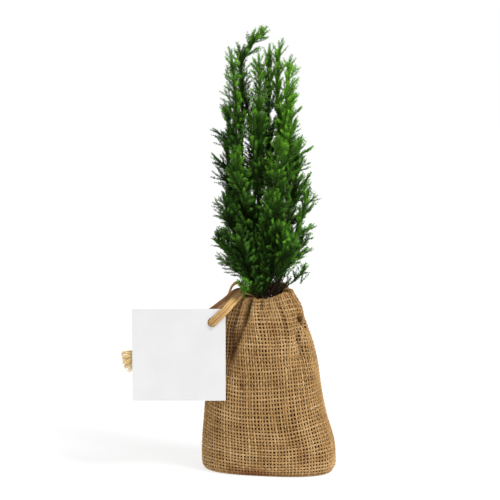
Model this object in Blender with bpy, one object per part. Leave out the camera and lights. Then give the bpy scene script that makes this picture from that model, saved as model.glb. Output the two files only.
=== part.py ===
"""A young upright conifer whose root ball stands in a gathered burlap bag, with a blank tag on a jute tie.

Metres, +Z up, the front towards -Y. The origin is on the flat underside of the bag, under its middle.
"""

import math
import random
from dataclasses import dataclass

import bpy
import numpy as np
from mathutils import Matrix, Vector
from mathutils.bvhtree import BVHTree

MM = 0.001
UP = Vector((0, 0, 1))
GAP = 0.3 * MM

# Bag: outline stations of the cloth, as height, left edge, right edge and half depth
BAG_STATIONS = (
    (0, -47.6, 48.2, 26.4),
    (2.5, -50, 50.3, 28.6),
    (8, -50.9, 50.9, 29.5),
    (22, -50.6, 49.8, 30),
    (41, -49.2, 44.3, 29.5),
    (60, -47.6, 40.3, 28.5),
    (80, -45, 37.4, 27.5),
    (96, -41.5, 34.4, 26.5),
    (108, -38, 30.4, 25.5),
    (119, -34.2, 26.6, 24),
    (128, -30.6, 23.2, 22),
    (140, -24, 17.8, 18),
)
BAG_TURN = math.radians(-9)
BAG_SQUARENESS = (2.7, 2.15)
BAG_WALL = 1.5 * MM
# The rim stands higher at the back than in front, and a little higher at both sides
BAG_RIM_HEIGHT = 136.3 * MM
BAG_RIM_RISE = 3.3 * MM
BAG_RIM_SADDLE = 0.6 * MM
BAG_ROUND = 48
BAG_ROWS = (6, 4)
GATHER_FOOT = 78 * MM
GATHER_TOP = 124 * MM
GATHER_COUNT = 11
GATHER_DEPTH = 1.1 * MM
# The neck swells and the rim stands up at the front right: place and half width in degrees from +X
NECK_SWELL = (-22, 24)
NECK_SWELL_DEPTH = 3.4 * MM
NECK_SWELL_HEIGHT = 126 * MM
NECK_SWELL_HALF = 9 * MM
RIM_LIFT = (-42, 20)
RIM_LIFT_HEIGHT = 3.4 * MM
# Deep pleats, as place round the mouth in degrees from +X, drift in degrees down the cloth, depth and width
PLEATS = (
    (-112, -13, 6.0, 8),
    (24, -8, 3.6, 9),
    (64, -10, 4.6, 9),
    (101, 4, 3.2, 8),
    (138, 12, 4.2, 9),
    (-160, -6, 3.0, 9),
)

# Root ball: the soil fills the bag up to this height
SOIL_TOP = 112 * MM
SOIL_SHARE = SOIL_TOP / BAG_RIM_HEIGHT
SOIL_GAP = 0.5 * MM

# Trunk: its line from the soil to where its leafy top begins, and its girth
TRUNK_LINE = (
    (-3, 0, 112),
    (-4, 0.5, 160),
    (-8, 1.5, 215),
    (-14, 2, 262),
    (-19, 1.2, 284),
    (-20.5, 0, 300),
)
TRUNK_RADIUS = (1.75 * MM, 0.65 * MM)
ROOT_FLARE = 1.7 * MM
ROOT_FLARE_HEIGHT = 4.5 * MM
TRUNK_SIDES = 7
TRUNK_RINGS = 18
# Rings added in the flare, as shares of the first step up the trunk
TRUNK_FLARE_RINGS = (0.25, 0.6)

# Upright boughs: height where each leaves the trunk, and the tip that its foliage reaches
BOUGHS = (
    ("left_front", 152, (-29.5, -9, 316)),
    ("left_back", 178, (-23.5, 12, 319)),
    ("middle_front", 164, (-8, -13, 311.5)),
    ("middle_back", 143, (0.5, 13, 318)),
    ("right", 131, (9.5, -1, 322)),
    ("right_front", 138, (16, -13, 310.5)),
    ("right_back", 125, (18.5, 9, 293)),
)
BOUGH_RADIUS = (1.15 * MM, 0.6 * MM)
BOUGH_SHARE = 0.5
BOUGH_SIDES = 5
BOUGH_RISE = 1.5
# The leafy top bends over to the right as it arrives at its tip
TOP_TIP = (-4, -3, 333)
TOP_ARRIVING = (0.62, -0.05, 0.75)

# Side plumes in tiers round the trunk: start, tip height, reach, plumes, turn of the first from +X
TIERS = (
    ("foot", 122, 152, 33, 3, 4),
    ("low", 127, 184, 36, 5, 18),
    ("mid", 142, 212, 36, 5, -10),
    ("upper", 163, 248, 33, 5, 10),
    ("crown", 196, 276, 23, 4, 2),
)
CROWN_FLATTEN = 0.88
# How uneven a tier is: turn in degrees, share of reach, tip and start in mm, and the climb between plumes
TIER_TURN_SPREAD = 9
TIER_REACH_SPREAD = 0.08
TIER_TIP_SPREAD = 5
TIER_START_SPREAD = 3
TIER_CLIMB = 1.5
PLUME_RISE = 1.1
PLUME_STEM_RADIUS = (0.75 * MM, 0.35 * MM)
PLUME_STEM_END = 0.96
PLUME_TIP_LEAN = 0.25

# Branchlets on every plume: a toothed blade stands for each spray of needles
BRANCHLET_PITCH = 7.8 * MM
BRANCHLET_LONGEST = 31 * MM
BRANCHLET_SHORTEST = 12 * MM
BRANCHLET_LAST = BRANCHLET_SHORTEST * 1.3
BRANCHLET_ANGLE = 29
# Length left on the side towards the trunk, and lost from a plume's foot to its tip, as shares
BRANCHLET_INWARD = 0.5
BRANCHLET_TAPER = 0.62
# A plume is bare up to the first share, or only just clear of its limb, and full up to the last
BRANCHLET_START = 0.1
BRANCHLET_START_ON_BOUGH = 0.03
BRANCHLET_END = 0.93
# The longest branchlet of an upright bough and of the top, as shares of a side plume's
BOUGH_LONGEST = 0.72
TOP_LONGEST = 0.5
# How uneven branchlets are: place as a share of a step, turn, angle in degrees, length and roll in degrees
PLACE_SPREAD = 0.2
TURN_SPREAD = 0.3
ANGLE_SPREAD = 6
LENGTH_RANGE = (0.88, 1.08)
ROLL_SPREAD = 75
GOLDEN_TURN = math.radians(137.5)
BLADE_SPAN = 9 * MM
BLADE_BODY = 4.2 * MM
BLADE_THICK = 1.0 * MM
BLADE_SINK = 0.4 * MM
BLADE_TEETH = 2
# Along the blade as shares of its length: its first notch, the step between notches, a tooth's lean
BLADE_FIRST = 0.12
BLADE_STEP = 0.31
BLADE_LEAN = 0.09
BLADE_NECK = 0.4
BLADE_TAPER = 0.3
SEED = 41
# A limb that would touch another is turned and raised by up to this much
SETTLE_TRIES = 60
SETTLE_SWING = 50
SETTLE_RISE = 9
# What the limbs and sprays grow clear of, besides each other, and the clear space round a limb and a spray
FIXED_NODES = ("burlap_bag", "root_ball", "trunk", "tie_front", "tie_rear", "tie_loop")
LIMB_GUARD = 0.35 * MM
SPRAY_GUARD = 0.2 * MM

# Tag, a square card, and the flat jute tie that carries it
TAG_SIDE = 69 * MM
TAG_THICK = 0.9 * MM
TAG_LEFT = -101.2 * MM
TAG_BOTTOM = 57 * MM
TAG_FACE = -23.6 * MM
TAG_HOLE = (-42 * MM, 116.1 * MM)
TAG_HOLE_RADIUS = 3.4 * MM
TIE_WIDTH = 6.2 * MM
TIE_THICK = 0.9 * MM
# Each strand's line from inside the mouth, over the rim and down to the tag
FRONT_STRAND = (
    (-9, -1, 127),
    (-14, -6.5, 133.4),
    (-19.6, -12.2, 135.6),
    (-26, -19.2, 131.4),
    (-31.5, -24.2, 126),
    (-36.5, -25.1, 121.4),
    (-42, -24.9, 116.1),
)
REAR_STRAND = (
    (-8, 6, 127.5),
    (-13, 1.5, 134.4),
    (-19, -4.6, 138.4),
    (-25.8, -10.8, 135.6),
    (-32.3, -15.3, 130.6),
    (-39.7, -17.3, 125.2),
    (-54, -19.4, 115.4),
    (-73, -21, 103.4),
    (-88, -21.3, 94.5),
)
TIE_LOOP = (
    (-17, 6, 133),
    (-20.8, 6.2, 139),
    (-24, 6.4, 140.9),
    (-27.4, 6.1, 138.8),
    (-29.6, 5.7, 134.2),
    (-31.8, 5.4, 128.6),
)
# Widths along each strand as shares: both are drawn together where they cross the rim side by side
FRONT_WIDTHS = (1, 0.86, 0.82, 0.88, 1, 1, 1)
REAR_WIDTHS = (1, 0.86, 0.82, 0.86, 0.95, 1, 1, 1, 1.1)
LOOP_WIDTH = 0.6
# The spool that the front strand ends in: a pad, a neck through the hole and a knot, as depth and radius
KNOT_PROFILE = (
    (-25.6, 3.2),
    (-25.3, 4.1),
    (-24.2, 4.1),
    (-24, 2.4),
    (-22.3, 2.4),
    (-21.9, 4),
    (-20.4, 4.2),
    (-19.4, 2.6),
)
KNOT_SIDES = 12
# Frayed strands: the x that they reach, their lowest and highest ends, and how much each one wanders
FRAY_STRANDS = 7
FRAY_ENDS = (-107.8, 80, 95)
FRAY_WANDER = 1.6
FRAY_DEPTH = 0.3 * MM
FRAY_RADIUS = 0.8 * MM
FRAY_TIP = 0.4
FRAY_OVERLAP = 2.5 * MM
FRAY_SPREAD = 0.86 * TIE_WIDTH
FRAY_BOW = 3 * MM


def clear_scene():
    for item in list(bpy.data.objects):
        bpy.data.objects.remove(item, do_unlink=True)


def finish(name, colour, roughness):
    """A plain Principled material."""
    made = bpy.data.materials.new(name)
    made.use_nodes = True
    shader = made.node_tree.nodes["Principled BSDF"]
    shader.inputs["Base Color"].default_value = (*colour, 1)
    shader.inputs["Roughness"].default_value = roughness
    shader.inputs["Metallic"].default_value = 0
    return made


def add_object(name, shape, material, smooth_angle=None):
    """An object from a pair of corner and face lists."""
    corners, faces = shape
    mesh = bpy.data.meshes.new(name)
    mesh.from_pydata([tuple(corner) for corner in corners], [], [tuple(face) for face in faces])
    mesh.update()
    if smooth_angle is not None:
        mesh.shade_smooth()
        mesh.set_sharp_from_angle(angle=math.radians(smooth_angle))
    mesh.materials.append(material)
    made = bpy.data.objects.new(name, mesh)
    bpy.context.scene.collection.objects.link(made)
    return made


def smooth_step(value, low, high):
    share = min(1.0, max(0.0, (value - low) / (high - low)))
    return share * share * (3 - 2 * share)


def smooth_value(stations, column, height):
    """A column of a station table at a height, along a smooth curve through the stations."""
    heights = [row[0] for row in stations]
    values = [row[column] for row in stations]
    last = len(stations) - 1
    height = min(max(height, heights[0]), heights[-1])
    n = min(last - 1, max(0, int(np.searchsorted(heights, height, side="right")) - 1))

    def slope(k):
        below, above = max(0, k - 1), min(last, k + 1)
        return (values[above] - values[below]) / (heights[above] - heights[below])

    span = heights[n + 1] - heights[n]
    t = (height - heights[n]) / span
    return (
        (2 * t**3 - 3 * t**2 + 1) * values[n]
        + (t**3 - 2 * t**2 + t) * span * slope(n)
        + (3 * t**2 - 2 * t**3) * values[n + 1]
        + (t**3 - t**2) * span * slope(n + 1)
    )


def spline(points, count):
    """Evenly stepped points on a smooth curve through the given ones."""
    line = [Vector(point) for point in points]
    line = [2 * line[0] - line[1]] + line + [2 * line[-1] - line[-2]]
    spans = len(line) - 3
    made = []
    for n in range(count):
        place = n / (count - 1) * spans
        k = min(int(place), spans - 1)
        t = place - k
        a, b, c, d = line[k : k + 4]
        bend, twist = 2 * a - 5 * b + 4 * c - d, 3 * b - a - 3 * c + d
        made.append(0.5 * (2 * b + (c - a) * t + bend * t**2 + twist * t**3))
    return made


def across(direction, near):
    """The unit vector at right angles to a direction that is nearest to another one."""
    flat = near - near.dot(direction) * direction
    return flat.normalized() if flat.length > 1e-6 else direction.orthogonal().normalized()


def tube(line, radii, sides):
    """A closed tube along a line, with flat ends."""
    corners, faces = [], []
    frame = across((line[1] - line[0]).normalized(), Vector((1, 0.2, 0)))
    for n, point in enumerate(line):
        ahead = (line[min(n + 1, len(line) - 1)] - line[max(n - 1, 0)]).normalized()
        frame = across(ahead, frame)
        other = ahead.cross(frame)
        for side in range(sides):
            turn = math.tau * side / sides
            corners.append(point + radii[n] * (math.cos(turn) * frame + math.sin(turn) * other))
    for n in range(len(line) - 1):
        for side in range(sides):
            low, high = n * sides, (n + 1) * sides
            after = (side + 1) % sides
            faces.append((low + side, low + after, high + after, high + side))
    faces.append(tuple(range(sides))[::-1])
    faces.append(tuple((len(line) - 1) * sides + side for side in range(sides)))
    return corners, faces


def moved(shape, start):
    """The faces of a shape with their corner numbers raised."""
    return [tuple(corner + start for corner in face) for face in shape]


# Bag


def nearness(turn, place, width):
    """How near a turn is to a place round the bag, from 0 to 1; place and width are in degrees."""
    offset = math.remainder(turn - math.radians(place), math.tau) / math.radians(width)
    return math.exp(-offset * offset)


def gather_depth(turn, height):
    """How far the cloth is drawn in at a place round the bag, from its gathers and pleats."""
    drawn = smooth_step(height, GATHER_FOOT, GATHER_TOP)
    depth = GATHER_DEPTH * drawn * (1 + math.cos(GATHER_COUNT * turn + 1.2 * math.sin(3 * turn)))
    for place, drift, pleat, width in PLEATS:
        depth += pleat * MM * drawn * nearness(turn, place + drift * (1 - drawn), width)
    aside = (height - NECK_SWELL_HEIGHT) / NECK_SWELL_HALF
    return depth - NECK_SWELL_DEPTH * nearness(turn, *NECK_SWELL) * math.exp(-aside * aside)


def bag_point(turn, share, inset=0.0):
    """A point on the cloth: turn is the angle from +X, share the way from underside to rim."""
    rim = BAG_RIM_HEIGHT + BAG_RIM_RISE * math.sin(turn) + BAG_RIM_SADDLE * math.cos(2 * turn)
    rim += RIM_LIFT_HEIGHT * nearness(turn, *RIM_LIFT)
    above_soil = max(0.0, (share - SOIL_SHARE) / (1 - SOIL_SHARE))
    height = share * BAG_RIM_HEIGHT + (rim - BAG_RIM_HEIGHT) * above_soil**2
    left, right, deep = (smooth_value(BAG_STATIONS, column, height / MM) * MM for column in (1, 2, 3))
    power = 2 / (BAG_SQUARENESS[0] + (BAG_SQUARENESS[1] - BAG_SQUARENESS[0]) * share)
    cos, sin = math.cos(turn), math.sin(turn)
    drawn_in = inset + gather_depth(turn, height)
    x = (left + right) / 2 + math.copysign(abs(cos) ** power, cos) * ((right - left) / 2 - drawn_in)
    y = math.copysign(abs(sin) ** power, sin) * (deep - drawn_in)
    return Matrix.Rotation(BAG_TURN, 3, "Z") @ Vector((x, y, height))


def bag_turns():
    return [math.tau * n / BAG_ROUND for n in range(BAG_ROUND)]


def bag_shares():
    """Row places from the underside up, closer at the rounded foot, with one at the soil's top."""
    foot = [0, 0.008, 0.022, 0.055]
    below, above = BAG_ROWS
    rows = [foot[-1] + (SOIL_SHARE - foot[-1]) * n / below for n in range(1, below + 1)]
    rows += [SOIL_SHARE + (1 - SOIL_SHARE) * n / above for n in range(1, above + 1)]
    return foot + rows


def ring_faces(rows, inward=False):
    """The walls between rows of a bag, facing out or in, all split along the same diagonal."""
    faces = []
    for n in range(rows - 1):
        for k in range(BAG_ROUND):
            after = (k + 1) % BAG_ROUND
            a, b = n * BAG_ROUND + k, n * BAG_ROUND + after
            c, d = b + BAG_ROUND, a + BAG_ROUND
            for face in ((a, b, c), (a, c, d)):
                faces.append(face[::-1] if inward else face)
    return faces


def bag_shape():
    """Cloth wall and floor as one open shell with an even thickness."""
    shares = bag_shares()
    outer = [bag_point(turn, share) for share in shares for turn in bag_turns()]
    inner_shares = [share for share in shares if share * BAG_RIM_HEIGHT > BAG_WALL]
    inner = []
    for n, share in enumerate(inner_shares):
        for turn in bag_turns():
            point = bag_point(turn, share, BAG_WALL)
            inner.append(Vector((point.x, point.y, BAG_WALL)) if n == 0 else point)
    start = len(outer)
    faces = ring_faces(len(shares)) + moved(ring_faces(len(inner_shares), inward=True), start)
    faces.append(tuple(range(BAG_ROUND))[::-1])
    faces.append(tuple(start + k for k in range(BAG_ROUND)))
    top_outer, top_inner = (len(shares) - 1) * BAG_ROUND, start + (len(inner_shares) - 1) * BAG_ROUND
    for k in range(BAG_ROUND):
        after = (k + 1) % BAG_ROUND
        faces.append((top_outer + k, top_outer + after, top_inner + after, top_inner + k))
    return outer + inner, faces


def root_ball_shape():
    """Soil that follows the inside of the cloth up to its flat top."""
    shares = [share for share in bag_shares() if BAG_WALL < share * BAG_RIM_HEIGHT < SOIL_TOP + GAP]
    inset = BAG_WALL + SOIL_GAP
    corners = []
    for n, share in enumerate(shares):
        for turn in bag_turns():
            point = bag_point(turn, share, inset)
            corners.append(Vector((point.x, point.y, inset)) if n == 0 else point)
    faces = ring_faces(len(shares))
    faces.append(tuple(range(BAG_ROUND))[::-1])
    top = (len(shares) - 1) * BAG_ROUND
    faces.append(tuple(top + k for k in range(BAG_ROUND)))
    return corners, faces


# Trunk and boughs


def trunk_line(count=25):
    return spline([Vector(point) * MM for point in TRUNK_LINE], count)


def trunk_at(height):
    """The middle and the radius of the trunk at a height."""
    line = trunk_line(60)
    point = min(line, key=lambda place: abs(place.z - height))
    share = (height - line[0].z) / (line[-1].z - line[0].z)
    flare = ROOT_FLARE * math.exp(-(height - line[0].z) / ROOT_FLARE_HEIGHT)
    return point, TRUNK_RADIUS[0] + (TRUNK_RADIUS[1] - TRUNK_RADIUS[0]) * share + flare


def trunk_shape():
    foot = SOIL_TOP + GAP
    line = trunk_line(TRUNK_RINGS)
    line[0].z = foot
    extra = [line[0].lerp(line[1], share) for share in TRUNK_FLARE_RINGS]
    line = [line[0], *extra, *line[1:]]
    radii = [trunk_at(point.z)[1] for point in line]
    corners, faces = tube(line, radii, TRUNK_SIDES)
    for corner in corners[:TRUNK_SIDES]:
        corner.z = foot
    return corners, faces


@dataclass
class Shoot:
    """A line of growth from its root to its tip, as a smooth curve."""

    name: str
    root: Vector
    tip: Vector
    leaving: Vector
    arriving: Vector
    longest: float

    def point(self, share):
        reach = (self.tip - self.root).length / 3
        a, d = self.root, self.tip
        b, c = a + self.leaving * reach, d - self.arriving * reach
        rest = 1 - share
        return a * rest**3 + b * 3 * rest**2 * share + c * 3 * rest * share**2 + d * share**3

    def ahead(self, share):
        return (self.point(min(1, share + 0.01)) - self.point(max(0, share - 0.01))).normalized()

    def length(self):
        places = [self.point(n / 20) for n in range(21)]
        return sum((b - a).length for a, b in zip(places, places[1:]))


def from_trunk(name, start, tip, rise, radius, longest, swing=0.0):
    """A shoot that leaves the trunk's side towards its tip, just clear of the bark."""
    middle, girth = trunk_at(start * MM)
    tip = Vector(tip) * MM
    out = Vector((tip.x - middle.x, tip.y - middle.y, 0)).normalized()
    out = Matrix.Rotation(swing, 3, "Z") @ out
    leaving = (out + rise * UP).normalized()
    root = middle + out * (girth + GAP + radius * rise / math.hypot(1, rise))
    arriving = (UP + PLUME_TIP_LEAN * out).normalized()
    return Shoot(name, root, tip, leaving, arriving, longest)


def stem_shape(shoot, first, last, radii, sides, steps=8, extra=0.0):
    """The tapering limb along part of a shoot."""
    places = [first + (last - first) * n / steps for n in range(steps + 1)]
    girths = [radii[0] + (radii[1] - radii[0]) * n / steps + extra for n in range(steps + 1)]
    return tube([shoot.point(place) for place in places], girths, sides)


def seeded(name, purpose):
    """Random numbers of a shoot's own, so that a change to one shoot leaves the others as they are."""
    return random.Random(f"{SEED} {name} {purpose}")


def settled(obstacles, name, start, tip, rise, radii, longest):
    """A shoot from the trunk, turned and raised a little until its limb is clear of those before it."""
    rng = seeded(name, "place")
    for attempt in range(SETTLE_TRIES):
        swing = math.radians(rng.uniform(-1, 1) * SETTLE_SWING * attempt / SETTLE_TRIES)
        raised = start + rng.uniform(-1, 1) * SETTLE_RISE * attempt / SETTLE_TRIES
        shoot = from_trunk(name, raised, tip, rise, radii[0], longest, swing)
        guard = solid_tree(stem_shape(shoot, 0, 1, radii, 6, steps=24, extra=LIMB_GUARD))
        if clear_of(guard, [tree for trees in obstacles.values() for tree in trees]):
            return shoot
    return None


def bough_shoots(obstacles):
    """The upright boughs, with the solid of each one's bare lower part."""
    made = []
    longest = BRANCHLET_LONGEST * BOUGH_LONGEST
    for name, start, tip in BOUGHS:
        shoot = settled(obstacles, name, start, tip, BOUGH_RISE, BOUGH_RADIUS, longest)
        if shoot is None:
            continue
        limb = stem_shape(shoot, 0, BOUGH_SHARE, BOUGH_RADIUS, BOUGH_SIDES)
        first = BOUGH_SHARE + GAP / shoot.length()
        stem = stem_shape(shoot, first, PLUME_STEM_END, (BOUGH_RADIUS[1], PLUME_STEM_RADIUS[1]), 3)
        obstacles["bough_" + name] = [solid_tree(limb)]
        obstacles["foliage_" + name] = [solid_tree(stem)]
        made.append((shoot, first, stem, limb))
    return made


def top_mass(obstacles):
    """The leafy top that goes on from the trunk's upper end."""
    root = trunk_line()[-1] + GAP * UP
    tip = Vector(TOP_TIP) * MM
    arriving = Vector(TOP_ARRIVING).normalized()
    shoot = Shoot("top", root, tip, UP, arriving, BRANCHLET_LONGEST * TOP_LONGEST)
    stem = stem_shape(shoot, 0, PLUME_STEM_END, (TRUNK_RADIUS[1], PLUME_STEM_RADIUS[1]), 3)
    obstacles["foliage_top"] = [solid_tree(stem)]
    return shoot, 0.0, stem, None


def plume_tip(rng, start, tip_height, reach, angle):
    """The tip of a side plume, in mm, from a tier's row and its turn round the trunk."""
    middle, _ = trunk_at((start + tip_height) / 2 * MM)
    far = reach * (1 - rng.uniform(0, TIER_REACH_SPREAD))
    return (
        middle.x / MM + far * math.cos(angle),
        middle.y / MM + far * CROWN_FLATTEN * math.sin(angle),
        tip_height + rng.uniform(-1, 1) * TIER_TIP_SPREAD,
    )


def tier_masses(obstacles):
    """Side plumes spaced round the trunk in tiers, each a little uneven."""
    made = []
    for tier, start, tip_height, reach, count, turn in TIERS:
        for n in range(count):
            name = f"{tier}_{n + 1}"
            rng = seeded(name, "tip")
            angle = math.radians(turn + 360 * n / count + rng.uniform(-1, 1) * TIER_TURN_SPREAD)
            tip = plume_tip(rng, start, tip_height, reach, angle)
            height = start + rng.uniform(-1, 1) * TIER_START_SPREAD + TIER_CLIMB * n
            shoot = settled(
                obstacles, name, height, tip, PLUME_RISE, PLUME_STEM_RADIUS, BRANCHLET_LONGEST
            )
            if shoot is None:
                continue
            stem = stem_shape(shoot, 0, PLUME_STEM_END, PLUME_STEM_RADIUS, 3)
            obstacles["foliage_" + name] = [solid_tree(stem)]
            made.append((shoot, 0.0, stem, None))
    return made


# Foliage


def blade(root, ahead, face, length, scale, extra=0.0):
    """A spray of needles as a thin toothed blade, thickest on its spine and sharp all round its edge."""
    side = face.cross(ahead)

    def place(along, aside=0.0, up=0.0):
        return root + ahead * along + side * aside + face * up

    corners = [place(-BLADE_SINK - extra), place(length + extra)]
    steps = [length * (BLADE_FIRST + BLADE_STEP * k) for k in range(BLADE_TEETH + 1)]
    spines = {}
    for up in (1, -1):
        spines[up] = []
        for k in range(BLADE_TEETH):
            spines[up].append(len(corners))
            corners.append(place((steps[k] + steps[k + 1]) / 2, 0, up * (BLADE_THICK / 2 + extra)))
    faces = []
    for sign in (1, -1):
        edge = []
        for k in range(BLADE_TEETH):
            body = BLADE_BODY / 2 * scale * (1 if k else BLADE_NECK) + extra
            reach = BLADE_SPAN / 2 * scale * (1 - BLADE_TAPER * k) + extra
            edge.append(len(corners))
            corners.append(place(steps[k], sign * body))
            edge.append(len(corners))
            corners.append(place(steps[k + 1] + BLADE_LEAN * length, sign * reach))
        for up in (1, -1):
            spine = spines[up]
            made = [(0, spine[0], edge[0]), (spine[-1], 1, edge[-1])]
            for k in range(BLADE_TEETH):
                made.append((spine[k], edge[2 * k + 1], edge[2 * k]))
                if k + 1 < BLADE_TEETH:
                    made.append((spine[k], edge[2 * k + 2], edge[2 * k + 1]))
                    made.append((spine[k], spine[k + 1], edge[2 * k + 2]))
            faces += made if sign * up > 0 else [corner[::-1] for corner in made]
    return corners, faces


def branchlets(shoot, first):
    """Places of the sprays on a shoot: root, direction and length, spiralling up to the tip."""
    rng = seeded(shoot.name, "sprays")
    count = round(shoot.length() * (1 - first) / BRANCHLET_PITCH)
    turn = rng.uniform(0, math.tau)
    made = []
    for n in range(count):
        step = n + 0.3 + rng.uniform(-1, 1) * PLACE_SPREAD
        share = first + (BRANCHLET_END - first) * step / count
        turn += GOLDEN_TURN + rng.uniform(-1, 1) * TURN_SPREAD
        ahead = shoot.ahead(share)
        middle, _ = trunk_at(shoot.point(share).z)
        out = Vector((shoot.tip.x - middle.x, shoot.tip.y - middle.y, 0)).normalized()
        frame = across(ahead, out)
        aside = math.cos(turn) * frame + math.sin(turn) * ahead.cross(frame)
        angle = math.radians(BRANCHLET_ANGLE + rng.uniform(-1, 1) * ANGLE_SPREAD)
        direction = math.cos(angle) * ahead + math.sin(angle) * aside
        outward = 0.5 + 0.5 * aside.dot(frame)
        taper = 1 - BRANCHLET_TAPER * (share - first) / (1 - first)
        length = shoot.longest * taper * (BRANCHLET_INWARD + (1 - BRANCHLET_INWARD) * outward)
        length = max(BRANCHLET_SHORTEST, length * rng.uniform(*LENGTH_RANGE))
        roll = math.radians(rng.uniform(-1, 1) * ROLL_SPREAD)
        face = Matrix.Rotation(roll, 3, direction) @ across(direction, frame)
        made.append((shoot.point(share), direction, face, length))
    last = shoot.ahead(1)
    face = across(last, Vector((0, -1, 0.2)))
    made.append((shoot.tip - last * BRANCHLET_LAST, last, face, BRANCHLET_LAST))
    return made


def solid_tree(shape):
    """What a clearance test needs of a solid: its middle, its reach and its search tree."""
    points = [Vector(corner) for corner in shape[0]]
    middle = sum(points, Vector()) / len(points)
    reach = max((point - middle).length for point in points)
    return middle, reach, BVHTree.FromPolygons([tuple(point) for point in points], shape[1])


def object_shape(name):
    """The corners and faces of an object that is already made."""
    mesh = bpy.data.objects[name].data
    return [corner.co for corner in mesh.vertices], [tuple(face.vertices) for face in mesh.polygons]


def clear_of(guard, others):
    """Whether a solid touches none of the others."""
    middle, reach, tree = guard
    for other_middle, other_reach, other in others:
        if (middle - other_middle).length < reach + other_reach and tree.overlap(other):
            return False
    return True


def gather(gathered, shape, material):
    """Puts a solid into a collection that is about to be fused."""
    piece = add_object(gathered.name + "_piece", shape, material)
    bpy.context.scene.collection.objects.unlink(piece)
    gathered.objects.link(piece)


def fuse(base, gathered):
    """Joins every solid of a collection to the base as one body, and removes them."""
    union = base.modifiers.new("fused", "BOOLEAN")
    union.operation = "UNION"
    union.operand_type = "COLLECTION"
    union.collection = gathered
    union.solver = "MANIFOLD"
    bpy.context.view_layer.update()
    graph = bpy.context.evaluated_depsgraph_get()
    whole = bpy.data.meshes.new_from_object(base.evaluated_get(graph))
    base.modifiers.clear()
    base.data = whole
    for piece in list(gathered.objects):
        bpy.data.objects.remove(piece, do_unlink=True)
    bpy.data.collections.remove(gathered)


def grow_mass(name, shoot, first, others, own, material):
    """One mass: its stem with every spray that keeps clear of what is round it, fused into one body."""
    base = add_object(name, own, material)
    gathered = bpy.data.collections.new(name + "_sprays")
    trees = []
    for root, direction, face, length in branchlets(shoot, first):
        scale = min(1.0, 0.5 + 0.5 * length / BRANCHLET_LONGEST)
        guard = solid_tree(blade(root, direction, face, length, scale, extra=SPRAY_GUARD))
        if not clear_of(guard, others):
            continue
        shape = blade(root, direction, face, length, scale)
        trees.append(solid_tree(shape))
        gather(gathered, shape, material)
    fuse(base, gathered)
    return trees


# Tag and tie


def tag_shape():
    """A square card with a round hole near its top right corner."""
    left, right = TAG_LEFT, TAG_LEFT + TAG_SIDE
    bottom, top = TAG_BOTTOM, TAG_BOTTOM + TAG_SIDE
    hole_x, hole_z = TAG_HOLE
    sides = 16
    hole = [
        (hole_x + TAG_HOLE_RADIUS * math.cos(a), hole_z + TAG_HOLE_RADIUS * math.sin(a))
        for a in (math.tau * (n + 0.5) / sides for n in range(sides))
    ]
    frame = [(right, hole_z), (right, top), (hole_x, top), (left, top), (left, hole_z), (left, bottom)]
    frame += [(hole_x, bottom), (right, bottom)]
    corners = []
    for y in (TAG_FACE, TAG_FACE + TAG_THICK):
        corners += [(x, y, z) for x, z in frame + hole]
    per_side = len(frame) + sides
    rim = len(frame)
    quarters = (
        (0, 1, 2, range(0, 5)),
        (2, 3, 4, range(4, 9)),
        (4, 5, 6, range(8, 13)),
        (6, 7, 0, range(12, 17)),
    )
    faces = []
    for a, b, c, arc in quarters:
        loop = [a, b, c] + [rim + k % sides for k in reversed(arc)]
        faces.append(tuple(loop))
        faces.append(tuple(k + per_side for k in loop)[::-1])
    for k in range(rim):
        after = (k + 1) % rim
        faces.append((k, after, after + per_side, k + per_side)[::-1])
    for k in range(sides):
        after = (k + 1) % sides
        faces.append((rim + k, rim + after, rim + after + per_side, rim + k + per_side))
    return corners, faces


def band(points, facings, widths, count, thick=TIE_THICK):
    """A flat band along a smooth line, its face towards the given vectors."""
    line = spline([Vector(point) * MM for point in points], count)
    looks = spline(facings, count)
    spans = spline([(width, 0, 0) for width in widths], count)
    corners, faces = [], []
    for n, point in enumerate(line):
        ahead = (line[min(n + 1, count - 1)] - line[max(n - 1, 0)]).normalized()
        face = across(ahead, looks[n])
        side = ahead.cross(face) * spans[n].x * TIE_WIDTH / 2
        rise = face * thick / 2
        corners += [point + side - rise, point - side - rise, point - side + rise, point + side + rise]
    for n in range(count - 1):
        for k in range(4):
            after = (k + 1) % 4
            faces.append((4 * n + k, 4 * n + after, 4 * n + 4 + after, 4 * n + 4 + k))
    faces.append((3, 2, 1, 0))
    faces.append(tuple(4 * (count - 1) + k for k in range(4)))
    return corners, faces


def fray_shapes():
    """The loose strands that the rear strand ends in."""
    end = Vector(REAR_STRAND[-1]) * MM
    slant = (Vector(REAR_STRAND[-1]) - Vector(REAR_STRAND[-2])).normalized()
    aside = Vector((slant.z, 0, -slant.x))
    far, low, high = FRAY_ENDS
    radii = [FRAY_RADIUS] * 5 + [FRAY_RADIUS * FRAY_TIP]
    made = []
    for n in range(FRAY_STRANDS):
        share = n / (FRAY_STRANDS - 1)
        start = end - slant * FRAY_OVERLAP - aside * (share - 0.5) * FRAY_SPREAD
        reach = far + FRAY_WANDER * math.sin(2.4 * n)
        tip = Vector((reach * MM, end.y + FRAY_DEPTH * math.cos(2 * n), (low + (high - low) * share) * MM))
        middle = start.lerp(tip, 0.45) - UP * (0.5 - share) * FRAY_BOW
        made.append(tube(spline((start, middle, tip), len(radii)), radii, 4))
    return made


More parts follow.
